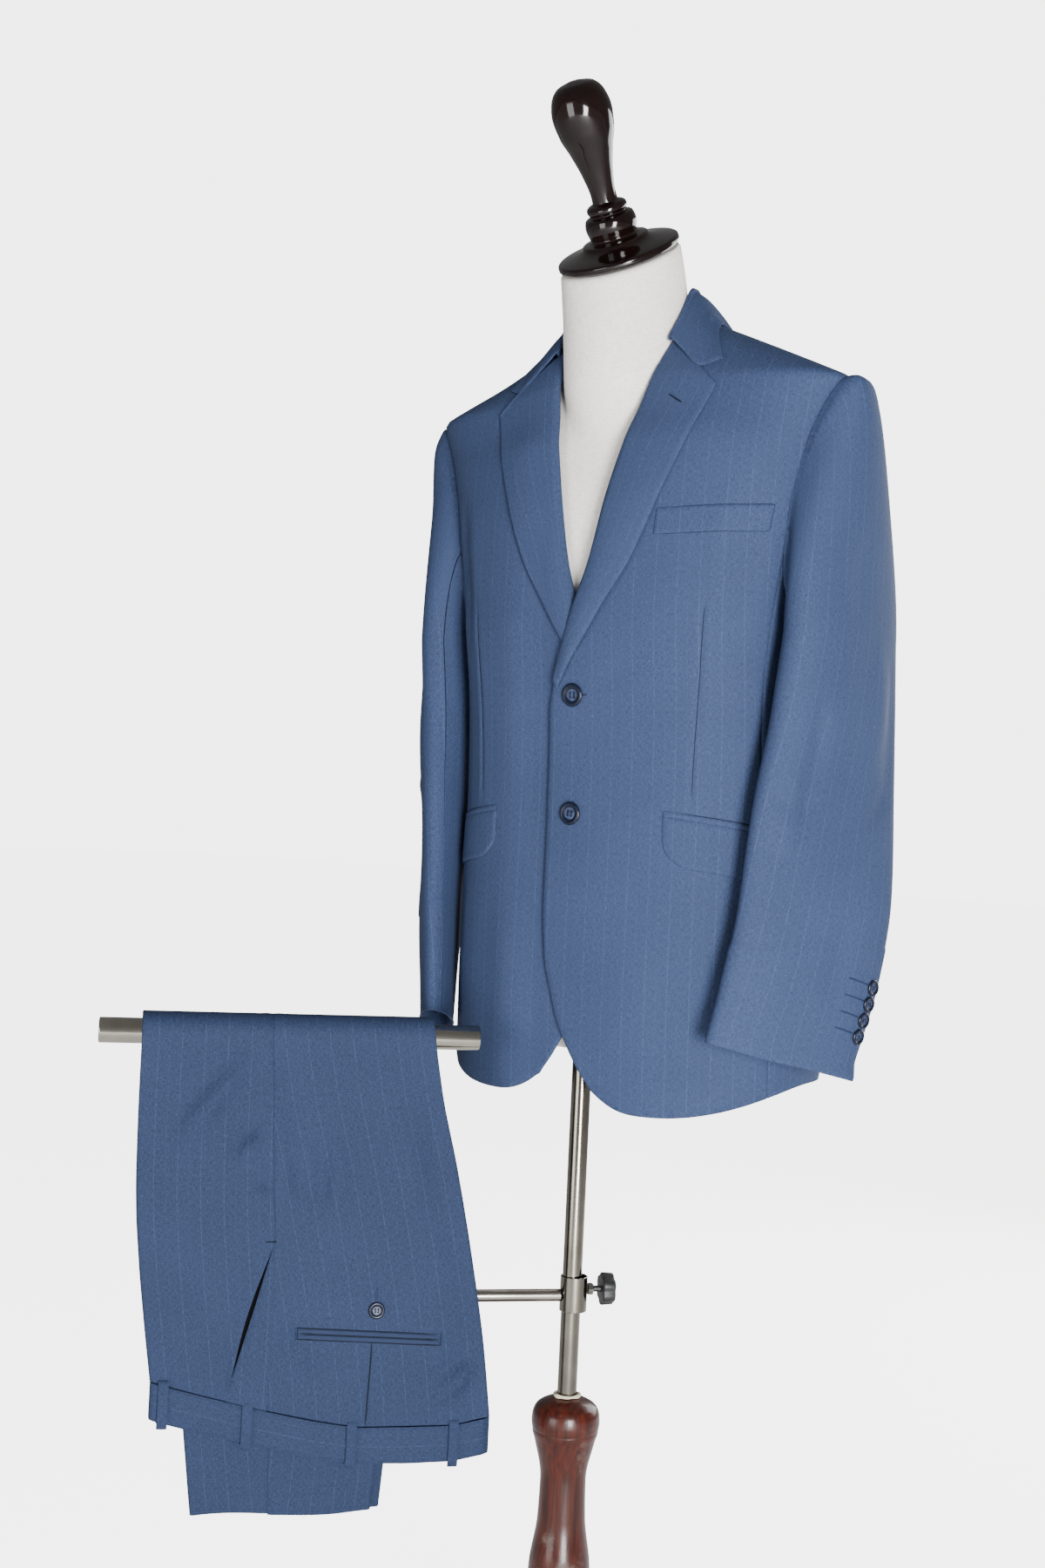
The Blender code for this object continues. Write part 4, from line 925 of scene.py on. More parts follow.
collarForm = (
    (0.0655, -0.0035, 1.4160, 0.0660, -0.0055, 1.4180, 0.0, 0.0),
    (0.0700, 0.0130, 1.4350, 0.0685, 0.0100, 1.4420, 57.0, 1.4295),
    (0.0700, 0.0560, 1.4500, 0.0590, 0.0500, 1.4800, 90.0, 1.4430),
    (0.0560, 0.0850, 1.4480, 0.0490, 0.0770, 1.4840, 122.0, 1.4400),
    (0.0330, 0.1030, 1.4470, 0.0280, 0.0930, 1.4850, 150.0, 1.4385),
    (0.0000, 0.1090, 1.4470, 0.0000, 0.0980, 1.4850, 180.0, 1.4375),
)
collarPiece = {
    "size": (150, 40),
    "corner": (0.1225, 1.3915),
    "notch": (0.1020, 1.3838),
    "edgeCurl": 0.0008,
    # share of the way to the fold, then metres outwards and upwards
    "lowKnot": (0.36, 0.0014, 0.0012),
    "highKnot": (0.55, 0.0010, 0.0006),
    "beforeFold": (0, 0.0016, -0.0022),
    "afterFold": (0, -0.0012, -0.0026),
    "foldRise": 0.0008,
}


def angleOf(points):
    half, _, _, mid = jacketRing(points[..., 2])
    share = np.minimum(1.0, np.abs(points[..., 0]) / half)
    degrees = np.degrees(np.arcsin(share ** (squareness / 2)))
    degrees = np.where(points[..., 1] > mid, 180 - degrees, degrees)
    return np.where(points[..., 0] < 0, -degrees, degrees)


def liftedAbove(points, lift):
    z = np.minimum(points[..., 2], neckZ - 0.002)
    degrees = angleOf(stack(points[..., 0], points[..., 1], z))
    normals = jacketNormal(degrees, z)
    height = ((points - onJacket(degrees, z)) * normals).sum(-1)
    short = np.where(points[..., 2] > neckZ - 0.002, 0.0, np.maximum(0.0, lift - height))
    return points + normals * short[..., None]


def throughKnots(v, knots):
    # a smooth curve through evenly spaced knots
    where = v * (len(knots) - 1)
    points = np.zeros_like(knots[0])
    for i, (a, b) in enumerate(zip(knots, knots[1:])):
        before = knots[i - 1] if i else 2 * a - b
        after = knots[i + 2] if i + 2 < len(knots) else 2 * b - a
        s = np.clip(where - i, 0, 1)[..., None]
        piece = 0.5 * (2 * a + (b - before) * s + (2 * before - 5 * a + 4 * b - after) * s ** 2
                       + (3 * a - before - 3 * b + after) * s ** 3)
        points = np.where((where >= i)[..., None], piece, points)
    return points


def collarPlace(u, v):
    # u runs from the right gorge round the back to the left one, v from the leaf's edge to the stand
    station = 1 - np.abs(2 * u - 1)
    place = station * (len(collarForm) - 1)
    rows = [(i,) + row for i, row in enumerate(collarForm)]
    values = [curveThrough(rows, place, column) for column in range(1, 9)]
    foot = stack(*values[0:3])
    fold = stack(*values[3:6])
    # the leaf's front corner runs straight to the shoulder
    t = np.clip(place, 0, 1)
    near = place < 1
    shoulderX = onJacket(np.array(collarForm[1][6]), np.array(collarForm[1][7]))[0]
    height = np.where(near, mix(collarPiece["corner"][1], collarForm[1][7], t), values[7])
    straight = frontAngle(mix(collarPiece["corner"][0], shoulderX, t), height)
    degrees = np.where(near, straight, values[6])
    leaf = lifted(degrees, height, np.full_like(u, leafLift))
    away = leaf - fold
    away[..., 2] = 0
    outward = unit(away)
    turn = np.minimum(1.0, station * 5)[..., None]
    up = np.array((0, 0, 1.0))
    notchX, notchZ = (np.full_like(u, value) for value in collarPiece["notch"])
    notch = lifted(frontAngle(notchX, notchZ), notchZ, np.full_like(u, leafLift))
    notch += np.array((0.001, 0, 0.001))

    def between(a, b, knot):
        share, out, rise = knot
        return mix(a, b, share) + outward * out * (turn if share else 1) + up * rise * turn

    low = mix(notch, between(leaf, fold, collarPiece["lowKnot"]), smooth(turn))
    points = throughKnots(v, [
        leaf,
        low,
        between(low, fold, collarPiece["highKnot"]),
        between(fold, fold, collarPiece["beforeFold"]),
        fold + up * collarPiece["foldRise"],
        between(fold, fold, collarPiece["afterFold"]),
        foot,
    ])
    leafSide = smooth((0.52 - v) / 0.08)[..., None]
    points = mix(points, liftedAbove(points, leafLift), leafSide)
    points = np.where((u < 0.5)[..., None], toRight(points), points)
    normals = -gridNormals(points)
    edge = rolledEdges(points, ["start", "end", "bottom"], collarPiece["edgeCurl"], 0.0035)
    points = finished(points, normals, edge)
    return points, arcAlong(points, 0), arcAlong(points, 1)


def makeLapelsAndCollar():
    for side in sides:
        place = lapelPlace(side == "right")
        piece = addPanel(f"lapel_{side}_cloth", lapelPiece["size"], place, side, f"lapel_{side}")
    piece = addPanel("collar_cloth", collarPiece["size"], collarPlace, "left", "collar", offset=-1.0)


makeLapelsAndCollar()
print("sleeves, lapels and collar made")


# ---- the trousers, folded over the rail ----

rail = {
    "heading": math.radians(226.5),
    "z": 0.728,
    "radius": 0.012,
    "span": (0.105, 0.467),
    "edge": 0.0012,
    "bend": 0.0155,
    "armZ": 0.478,
    "armRadius": 0.006,
    "armUpright": 0.286,
    "armBend": 0.022,
}
# along the cloth, waist to hem: front crease, back crease and side seam, in metres along the rail
legForm = (
    (-0.400, 0.403, 0.081, 0.2960), (-0.320, 0.412, 0.091, 0.2950), (-0.240, 0.420, 0.105, 0.2950),
    (-0.150, 0.426, 0.124, 0.3000), (-0.070, 0.427, 0.143, 0.3040), (0.000, 0.427, 0.153, 0.3060),
    (0.070, 0.422, 0.155, 0.3040), (0.200, 0.405, 0.164, 0.2980), (0.350, 0.377, 0.178, 0.2910),
    (0.500, 0.357, 0.189, 0.2860),
)
trousers = {
    "thickness": 0.0012,
    "waist": -0.390,
    "hem": 0.484,
    "legShift": 0.009,
    "gap": (0.0005, 0.0042),
    "slantTop": (-0.216, 0.2952),
    "slantWaist": (-0.372, 0.3310),
    "gape": 0.0050,
    "gapeLift": 0.0050,
    "size": (66, 190),
    "outerShare": 42 / 66,
    "foldShare": 52 / 66,
    "bandHeight": 0.034,
    "frontRise": 0.046,
    "backRise": 0.007,
    "creaseRise": (0.0026, 0.0016),
    "leftShare": 0.45,
    "sideSeam": ((0.0001, 0.0022), (0.0003, 0.006, 0.004)),
    "dartSeam": ((0.0010, 0.0018), (0.0006, 0.004, 0.004)),
    "hemWave": (0.0022, 34.0),
    "hemRipple": (0.0006, 90.0),
}
# near the waist on the outer face: points (along the rail, along the cloth), half width, height, peak
nearCreases = (
    (((0.310, -0.016), (0.371, -0.098), (0.400, -0.167)), 0.015, 0.0075, 0.35),
    (((0.323, -0.025), (0.382, -0.091), (0.4115, -0.135)), 0.010, -0.0045, 0.3),
    (((0.286, -0.030), (0.340, -0.080), (0.366, -0.150)), 0.013, -0.0034, 0.4),
    (((0.309, -0.091), (0.3335, -0.122), (0.345, -0.152)), 0.008, -0.0042, 0.4),
    (((0.310, -0.112), (0.336, -0.1455)), 0.008, 0.0036, 0.5),
    (((0.299, -0.165), (0.3166, -0.156), (0.328, -0.168)), 0.0055, -0.0028, 0.2),
    (((0.299, -0.178), (0.313, -0.172), (0.326, -0.182)), 0.005, 0.0018, 0.3),
    (((0.299, -0.193), (0.314, -0.1937)), 0.0045, -0.0020, 0.3),
    (((0.302, -0.025), (0.293, -0.156), (0.2846, -0.200)), 0.009, 0.0034, 0.5),
    (((0.279, -0.126), (0.2744, -0.156), (0.2744, -0.1915)), 0.007, -0.0042, 0.5),
    (((0.265, -0.097), (0.2553, -0.128), (0.2515, -0.156), (0.260, -0.1965), (0.271, -0.218)),
     0.008, -0.0050, 0.45),
    (((0.257, -0.098), (0.243, -0.140), (0.239, -0.175), (0.249, -0.216)), 0.010, 0.0042, 0.5),
    (((0.225, -0.060), (0.212, -0.130), (0.205, -0.190)), 0.020, -0.0026, 0.4),
    (((0.246, -0.247), (0.234, -0.240), (0.222, -0.237)), 0.008, -0.0024, 0.5),
    (((0.186, -0.070), (0.172, -0.150), (0.164, -0.230)), 0.018, 0.0034, 0.5),
    (((0.145, -0.060), (0.140, -0.130), (0.142, -0.200)), 0.016, -0.0022, 0.5),
    (((0.352, -0.236), (0.342, -0.262), (0.329, -0.292)), 0.012, -0.0013, 0.5),
    (((0.368, -0.240), (0.354, -0.272), (0.341, -0.304)), 0.012, 0.0013, 0.5),
    (((0.385, -0.210), (0.378, -0.280), (0.368, -0.330)), 0.014, -0.0026, 0.5),
    (((0.279, -0.286), (0.2805, -0.312), (0.281, -0.336)), 0.007, -0.0034, 0.4),
    (((0.268, -0.300), (0.266, -0.330), (0.262, -0.352)), 0.007, 0.0024, 0.4),
    (((0.256, -0.316), (0.250, -0.336), (0.246, -0.360)), 0.007, -0.0022, 0.4),
    (((0.088, -0.326), (0.118, -0.3505), (0.139, -0.3685), (0.156, -0.384)), 0.0085, 0.0070, 0.25),
    (((0.090, -0.309), (0.122, -0.332), (0.147, -0.352), (0.166, -0.370)), 0.008, -0.0038, 0.3),
    (((0.088, -0.352), (0.108, -0.366), (0.124, -0.380)), 0.007, -0.0034, 0.3),
    (((0.206, -0.268), (0.216, -0.262), (0.226, -0.266)), 0.005, -0.0016, 0.4),
    (((0.189, -0.270), (0.180, -0.262), (0.168, -0.262)), 0.006, 0.0014, 0.4),
    (((0.132, -0.200), (0.150, -0.225), (0.170, -0.240)), 0.014, 0.0024, 0.5),
)
farCreases = (
    (((0.300, 0.050), (0.330, 0.140), (0.345, 0.230)), 0.018, 0.0040, 0.4),
    (((0.250, 0.060), (0.225, 0.150), (0.222, 0.240)), 0.016, 0.0034, 0.4),
    (((0.272, 0.080), (0.262, 0.170), (0.268, 0.260)), 0.012, -0.0026, 0.5),
    (((0.360, 0.080), (0.366, 0.190), (0.350, 0.300)), 0.014, -0.0022, 0.5),
    (((0.200, 0.200), (0.212, 0.300), (0.216, 0.400)), 0.014, 0.0026, 0.5),
    (((0.320, 0.260), (0.308, 0.350), (0.312, 0.440)), 0.014, 0.0026, 0.5),
    (((0.240, 0.300), (0.246, 0.380), (0.240, 0.460)), 0.012, -0.0022, 0.5),
)
dartRows = ((-0.400, 0.2022), (-0.390, 0.2022), (-0.310, 0.2000), (-0.300, 0.2000), (-0.150, 0.2000))


legs = ("right", "left")


def legSide(leg):
    # the right leg's outer face looks out from the rail, the left one's towards the stand
    return 1.0 if leg == "right" else -1.0


def outerLayer(leg):
    return 3 if leg == "right" else 0


def railPoint(along, out, z):
    c, s = math.cos(rail["heading"]), math.sin(rail["heading"])
    return stack(c * along - s * out, s * along + c * out, z)


def overRail(alongRail, along, radius):
    quarter = math.pi / 2 * rail["bend"]
    angle = np.clip(along, -quarter, quarter) / rail["bend"]
    z = rail["z"] + radius * np.cos(angle) - np.maximum(0, np.abs(along) - quarter)
    return railPoint(alongRail, -radius * np.sin(angle), z)


def legGap(along):
    return mix(*trousers["gap"], smooth((np.abs(along) - 0.03) / 0.16))


def layerRadius(layer, along):
    # the middle of a cloth layer from the rail's axis; 0 is the left leg's outer face
    cloth = trousers["thickness"]
    leg = np.where(np.asarray(layer) < 2, 0, 1)
    inside = layer - 2 * leg
    gap = legGap(along)
    return rail["radius"] + 0.0007 + cloth / 2 + leg * (2 * cloth + gap + 0.0006) + inside * (cloth + gap)


def waistAlong(where):
    front = np.clip((where - 0.205) / 0.200, 0, 1)
    back = smooth((0.125 - where) / 0.050)
    return trousers["waist"] + trousers["frontRise"] * front ** 1.25 + trousers["backRise"] * back


def rowAlong(v):
    # rows lie closer round the rail
    return np.interp(v, (0, 0.50, 0.655, 1.0), (trousers["waist"], -0.036, 0.036, trousers["hem"]))


def slantShare(along):
    return (trousers["slantTop"][0] - along) / (trousers["slantTop"][0] - trousers["slantWaist"][0])


def bentAlong(where, along):
    # the waist's edge slants, and the rows above it follow
    bend = np.maximum(0.0, (along + 0.2) / (trousers["waist"] + 0.2))
    return along + (waistAlong(where) - trousers["waist"]) * bend


def outerHeight(leg, where, along, crease, part):
    # folds of the leg's outer face, lower on the left leg, which lies behind
    nearRise, farRise = trousers["creaseRise"]
    near = smooth((-along - 0.030) / 0.05)
    far = smooth((along - 0.030) / 0.06)
    edge = smooth((crease - where if part == "front" else where - crease) / 0.045)
    rest = smooth((along + 0.392) / 0.020)
    field = near * (creaseField(where, bentAlong(where, along), nearCreases) + nearRise * edge)
    field *= mix(0.35, 1, rest)
    field += far * (creaseField(where, along, farCreases) + farRise * edge)
    if part == "front":
        beyond = np.maximum(0.0, where - slantEdge(along))
        share = np.clip(slantShare(along), 0, 1)
        field += trousers["gapeLift"] * np.sin(np.pi * share) ** 0.8 * np.exp(-beyond / 0.016)
    scale = 1.0 if leg == "right" else trousers["leftShare"]
    return field * scale * smooth(edge * 1.6)


def slantEdge(along):
    share = np.clip(slantShare(along), 0, 1)
    line = mix(trousers["slantTop"][1], trousers["slantWaist"][1], share)
    return line + trousers["gape"] * np.sin(np.pi * share) ** 1.2


def legPlace(leg, part):
    innerLayer = 2 if leg == "right" else 1
    shift = -trousers["legShift"] if leg == "right" else 0.0
    sign = 1 if part == "front" else -1
    outerShare, foldShare = trousers["outerShare"], trousers["foldShare"]

    def place(u, v):
        along = rowAlong(v)
        moved = shift * smooth((along - 0.05) / 0.4)
        crease = curveThrough(legForm, along, 1 if part == "front" else 2) + moved
        seam = curveThrough(legForm, along, 3) + moved
        start = seam + sign * 0.00004
        if part == "front":
            start = np.where(along < trousers["slantTop"][0], slantEdge(along) + 0.0003, start)
        outer = layerRadius(outerLayer(leg), along)
        inner = layerRadius(innerLayer, along)
        fold = np.abs(outer - inner) / 2
        share = np.clip(u / outerShare, 0, 1)
        whole = crease - sign * fold
        if part == "back":
            dart = curveThrough(dartRows, along, 1)
            share = shareWithDart(share, 0.45, (dart - start) / (whole - start))
        face = mix(start, whole, share)
        angle = np.pi * np.clip((u - outerShare) / (foldShare - outerShare), 0, 1)
        turned = whole + sign * fold * np.sin(angle)
        back = mix(whole, seam + sign * 0.0003, np.clip((u - foldShare) / (1 - foldShare), 0, 1))
        where = np.where(u <= outerShare, face, np.where(u <= foldShare, turned, back))
        radius = mix(outer, inner, (1 - np.cos(angle)) / 2)
        height = outerHeight(leg, where, along, crease, part) * (u <= outerShare)
        seams = seamHeight(np.abs(where - start), *trousers["sideSeam"])
        if part == "back":
            inDart = smooth((-along - 0.306) / 0.006)
            seams += inDart * seamHeight(where - dart, *trousers["dartSeam"])
        height += seams * (u < outerShare)
        # the hem isn't quite straight
        hem = smooth((along - 0.46) / 0.024)
        size, turns = trousers["hemRipple"]
        height += hem * size * np.sin(where * turns)
        size, turns = trousers["hemWave"]
        wave = size * np.sin((where - 0.2) * turns + (0.6 if part == "front" else 0.0))
        bent = bentAlong(where, along) + hem * wave
        points = overRail(where, bent, radius + legSide(leg) * height)
        return points, np.abs(crease - where) + 0.0062, along
    return place


def makeLegs():
    for leg in legs:
        for part in ("front", "back"):
            name = f"leg_{part}_{leg}"
            piece = addCloth(name, trousers["size"], legPlace(leg, part), worstedTrousersShaded, "rail",
                             f"trouser_{part}_{leg}", trousers["thickness"], 0.0)


makeLegs()


def outerFace(leg, where, along, lift):
    # a point above the leg's outer cloth: the height of its folds there, and lift more
    part = "front" if where > curveThrough(legForm, along, 3) + 0.001 else "back"
    edge = curveThrough(legForm, along, 1 if part == "front" else 2)
    height = float(outerHeight(leg, np.array(where), np.array(along), edge, part))
    radius = float(layerRadius(outerLayer(leg), along)) + legSide(leg) * (height + lift)
    return overRail(where, along, radius)


def legSpot(leg, lift):
    # places above the leg's outer face, and the way out from the rail
    normal = railPoint(0, 1.0, 0) * legSide(leg)

    def at(where, along):
        return outerFace(leg, float(where), float(along), lift), normal
    return at


def bandProfile():
    # round the folded waist: along the rail, and the layer
    front = float(curveThrough(legForm, trousers["waist"], 1)) + 0.0005
    back = float(curveThrough(legForm, trousers["waist"], 2)) - 0.0005
    inside = [(0.335, 2.0), (0.37, 2.0), (front - 0.003, 2.0), (front, 2.5), (front - 0.003, 3.0)]
    face = [(mix(front - 0.003, back + 0.006, k), 3.0) for k in (0.12, 0.25, 0.4, 0.55, 0.7, 0.85, 1.0)]
    turn = [(back + 0.001, 2.4), (back, 1.5), (back + 0.001, 0.6)]
    other = [(x, 0.0) for x, _ in face[::-1]]
    tucked = [(x, 3.0 - layer) for x, layer in inside[::-1]]
    return inside + face + turn + other + tucked


waistband = {"size": (230, 16), "thickness": 0.0016, "crown": 0.0009, "seam": 0.0013}
# places along the rail and heights
bandWaves = (
    (0.385, 0.0010), (0.330, -0.0006), (0.262, 0.0014), (0.215, -0.0008), (0.160, 0.0016), (0.115, -0.0006),
)


def bandSwell(where, share):
    # how far the band's face swells, more so towards its free edge
    wave = sum(height * bell(where - centre, 0.016) for centre, height in bandWaves)
    crown = waistband["crown"] * np.clip(1 - (2 * share - 1) ** 4, 0, 1)
    return crown + wave * (0.4 + 0.6 * np.clip(share, 0, 1))


def bandPoint(where, layer, v, face):
    # v runs from the seam to the free edge; face is 1 on the outer sides
    along = waistAlong(where) - waistband["seam"] - trousers["bandHeight"] * v
    radii = [layerRadius(i, along) for i in range(4)]
    radius = mix(radii[0], radii[1], layer)
    for i in (1, 2):
        radius = np.where(layer < i, radius, mix(radii[i], radii[i + 1], layer - i))
    outward = np.where(layer > 1.5, 1.0, -1.0)
    return overRail(where, along, radius + outward * face * bandSwell(where, v))


def bandPlace(u, v):
    profile = np.array(bandProfile())
    # a layer counts as 4 mm of the way round
    key = runAlong(profile * np.array((1, 0.004)))
    key /= key[-1]
    where = np.interp(u, key, profile[:, 0])
    layer = np.interp(u, key, profile[:, 1])
    face = np.where((layer > 2.9) | (layer < 0.1), 1.0, 0.0)
    points = bandPoint(where, layer, v, face)
    return points, where, v * trousers["bandHeight"] + 0.0035


def makeWaistband():
    piece = addCloth("waistband_cloth", waistband["size"], bandPlace, worstedCrossShaded, "rail", "waistband",
                     waistband["thickness"], 0.0)


makeWaistband()
print("trousers made")


# ---- pockets, buttonholes and stitches ----

flip = np.array((-1.0, 1, 1))
pocketPatches = {
    # from and to in degrees round the body, top, drop to the side, height, rounded corner, lift, thickness
    "breast_welt": (21.2, 64.0, 1.2435, -0.0050, 0.0245, 0.0, 0.0016, 0.0014),
    "flap": (28.0, 91.0, 0.9510, 0.0180, 0.0455, 0.024, 0.0016, 0.0018),
    "jet": (28.0, 91.0, 0.9569, 0.0180, 0.0055, 0.0, 0.0015, 0.0012),
}


def patchSpot(patch, u, v):
    # degrees and height of a place on a patch, whose lower corner may be rounded
    first, last, top, drop, height, corner = patch[:6]
    tall = np.full_like(u, height)
    if corner:
        inside = np.clip(1 - u * (last - first) / 60 * 0.145 / corner, 0, 1)
        tall -= corner * (1 - np.sqrt(1 - inside ** 2))
    return mix(first, last, u), top - drop * u - tall * (1 - v)


def overFront(degrees, z, lift):
    # a place above the front's creases, and the way out from there
    hang = creaseField(ringArc(degrees, z), z, frontCreases)
    return lifted(degrees, z, lift + hang), jacketNormal(degrees, z)


def patchPlace(patch):
    def place(u, v):
        degrees, z = patchSpot(patch, u, v)
        points, normals = overFront(degrees, z, patch[6] + 0.0008 * np.sin(np.pi * u) * (1 - v))
        edge = rolledEdges(points, ["start", "end", "bottom", "top"], 0.0010, 0.0028)
        return finished(points, normals, edge), ringArc(degrees, z), z
    return place


def makePatches():
    for side in sides:
        for kind, size in (("flap", (70, 26)), ("jet", (70, 5))):
            patch = pocketPatches[kind]
            addPanel(f"{kind}_{side}", size, patchPlace(patch), side, f"pocket_{kind}_{side}", patch[7])
    patch = pocketPatches["breast_welt"]
    addPanel("breast_welt_cloth", (60, 14), patchPlace(patch), "left", "breast_welt", patch[7])


makePatches()


def alongPath(at, run, path):
    return np.stack([np.interp(at, run, path[:, i]) for i in range(3)], -1)


def ribbonMesh(name, path, normals, width, height):
    # a rounded cord-like strip along a path, as worked thread
    path = np.array(path)
    normals = unit(np.array(normals))
    count = len(path)

    def place(u, v):
        centre = alongPath(v * (count - 1), np.arange(count), path)
        up = unit(alongPath(v * (count - 1), np.arange(count), normals))
        ahead = unit(np.gradient(centre, axis=0))
        side = unit(np.cross(ahead, up))
        ends = np.clip(np.minimum(v, 1 - v) / 0.12, 0, 1) ** 0.5
        around = np.pi * u
        out = centre + side * (np.cos(around) * width / 2 * ends)[..., None]
        return out + up * (np.sin(around) * height * ends)[..., None], u, v
    return gridMesh(name, 8, max(14, count), place)


def mergedMesh(name, meshes):
    bm = bmesh.new()
    for mesh in meshes:
        bm.from_mesh(mesh)
        bpy.data.meshes.remove(mesh)
    return meshFrom(name, bm)


stitch = {"length": 0.0024, "gap": 0.0013, "radius": 0.00028}


def stitchMesh(name, path, normals):
    # a row of short stitches, sunk to half their thickness
    length, gap, radius = stitch["length"], stitch["gap"], stitch["radius"]
    path = np.array(path)
    normals = unit(np.array(normals))
    run = runAlong(path)
    bm = bmesh.new()
    for start in np.arange(gap, run[-1] - length, length + gap):
        a, b = (Vector(alongPath(at, run, path)) for at in (start, start + length))
        up = Vector(alongPath(start, run, normals))
        turn = (b - a).to_track_quat("X", "Z").to_matrix().to_4x4()
        matrix = Matrix.Translation((a + b) / 2 + up * radius * 0.3) @ turn
        matrix = matrix @ Matrix.Diagonal((length / 2, radius, radius, 1))
        bmesh.ops.create_icosphere(bm, subdivisions=1, radius=1.0, matrix=matrix)
    return meshFrom(name, bm)


def patchOutline(patch, isClosed):
    # the seam round a patch: down one side, along its foot and up the other, and over its top
    u = np.concatenate((np.zeros(8), np.linspace(0, 1, 60), np.ones(8)))
    v = np.concatenate((np.linspace(1, 0.1, 8), np.zeros(60), np.linspace(0.1, 1, 8)))
    if isClosed:
        u = np.concatenate((u, np.linspace(1, 0, 50)))
        v = np.concatenate((v, np.ones(50)))
    return overFront(*patchSpot(patch, u, v), jacket["thickness"] + 0.0001)


def dartLine():
    z = np.linspace(frontPiece["dartBottom"] + 0.006, frontPiece["dartTop"] - 0.008, 60)
    degrees = frontAngle(curveThrough(frontPiece["dartX"], z, 1), z)
    return overFront(degrees, z, jacket["thickness"] - 0.0008)


def makeSeamLines():
    # painted shadow: fine dark cords laid round the pockets and down the dart, where the seams lie in shade
    for side in sides:
        lines = [patchOutline(pocketPatches["flap"], False), patchOutline(pocketPatches["jet"], True)]
        lines.append(dartLine())
        if side == "left":
            lines.append(patchOutline(pocketPatches["breast_welt"], True))
        meshes = []
        for path, normals in lines:
            if side == "right":
                path, normals = toRight(path), normals * flip
            meshes.append(ribbonMesh("seam", path, normals, 0.0016, 0.0004))
        name = f"seam_shadow_lines_{side}"
        addPiece(name, mergedMesh(name, meshes), darkThreadAndShade, "stand")


makeSeamLines()


def makeSleeveHeads():
    # the seam allowances turned into the head of each sleeve close the armhole at the shoulder
    turn = np.linspace(-68, 68, 60)
    path = sleevePoint(turn, np.ones_like(turn)) + np.array((-0.0015, 0, -0.0036))
    normals = np.tile((0.5, 0.0, 0.86), (len(turn), 1))
    for side in sides:
        if side == "right":
            path, normals = toRight(path), normals * flip
        mesh = ribbonMesh(f"sleeve_head_{side}", path, normals, 0.013, 0.0034)
        addPiece(f"sleeve_head_{side}", mesh, worsted, "stand")


makeSleeveHeads()


def chestPoint(x, z, lift):
    x, z = np.array(x), np.array(z)
    degrees = frontAngle(x, z)
    return lifted(degrees, z, lift), jacketNormal(degrees, z)


def worked(name, ends, pointAt, finish, body, width=0.0021, height=0.0006):
    # a worked buttonhole or tack between two places
    spots = [pointAt(*(mix(a, b, t) for a, b in zip(*ends))) for t in np.linspace(0, 1, 9)]
    addPiece(name, ribbonMesh(name, *zip(*spots), width, height), finish, body)


def makeJacketButtonholes():
    lapelTop = jacket["thickness"] + leafLift + 0.0006
    worked("lapel_buttonhole", ((0.0783, 1.3561), (0.0937, 1.3461)),
           lambda x, z: chestPoint(x, z, lapelTop), darkThreadAndShade, "stand", 0.0017, 0.0005)
    worked("front_buttonhole", ((0.0100, 1.0662), (0.0155, 1.0662)),
           lambda x, z: chestPoint(x, z, jacket["thickness"] + 0.0001), thread, "stand")


makeJacketButtonholes()


# ---- buttons ----

buttonShape = {
    "front": 0.0115,
    "cuff": 0.0078,
    "back": 0.0079,
    "thick": 0.30,
    "dish": 0.50,
    "hole": 0.115,
    "spread": 0.19,
}
# shares of the radius and of the thickness, from the dish over the rim to the back
buttonRows = (
    (0.0, 0.50), (0.40, 0.50), (0.52, 0.54), (0.62, 0.72), (0.72, 0.94), (0.80, 1.0), (0.88, 0.97),
    (0.95, 0.84), (1.0, 0.58), (0.985, 0.36), (0.90, 0.12), (0.80, 0.0), (0.0, 0.0),
)


def makeButton(name, kind, place, normal, upward, body, node):
    radius = buttonShape[kind]
    thick = radius * buttonShape["thick"]
    dish = thick * buttonShape["dish"]
    spread = radius * buttonShape["spread"]
    normal = Vector(normal)
    side = Vector(upward).cross(normal).normalized()
    basis = Matrix((side, normal.cross(side), normal)).transposed().to_4x4()
    matrix = Matrix.Translation(Vector(place)) @ basis
    disc = turnedMesh(name, [(r * radius, z * thick) for r, z in buttonRows], 40, matrix)
    addPiece(name, disc, resin, body, (node,))
    # the dished face is a separate disc in the lighter resin, its colour a painted sheen
    rows = ((0.0, 0.012), (0.50, 0.02), (0.56, -0.06), (0.0, -0.06))
    face = [(r * radius, dish + z * radius) for r, z in rows]
    addPiece(f"{name}_face", turnedMesh(f"{name}_face", face, 32, matrix), resinPaintedSheen, body)
    # each hole is a flat dark disc: painted shade in place of its depth
    hole_shades = bmesh.new()
    stitches = bmesh.new()
    for across in (-spread, spread):
        for up in (-spread, spread):
            spot = matrix @ Matrix.Translation((across, up, dish + radius * 0.012))
            bmesh.ops.create_uvsphere(hole_shades, u_segments=14, v_segments=6,
                                      radius=radius * buttonShape["hole"],
                                      matrix=spot @ Matrix.Diagonal((1, 1, 0.12, 1)))
        spot = matrix @ Matrix.Translation((across, 0, dish + radius * 0.03))
        shape = Matrix.Diagonal((radius * 0.055, spread * 1.15, radius * 0.05, 1))
        bmesh.ops.create_uvsphere(stitches, u_segments=10, v_segments=8, radius=1.0, matrix=spot @ shape)
    for part, bm in (("hole_shades", hole_shades), ("thread", stitches)):
        addPiece(f"{name}_{part}", meshFrom(f"{name}_{part}", bm), darkThreadAndShade, body)


def sleeveSpot(turn, z):
    before, here, after = sleeveSection(turn + np.array([-1.5, 0.0, 1.5]), np.full(3, z))
    above = sleeveSection(np.array(turn), np.array(z + 0.004))
    return here, unit(np.cross(after - before, above - here))


def onSleeve(turn, height):
    spot, out = sleeveSpot(turn, height)
    return spot + out * (jacket["thickness"] + 0.0010), out


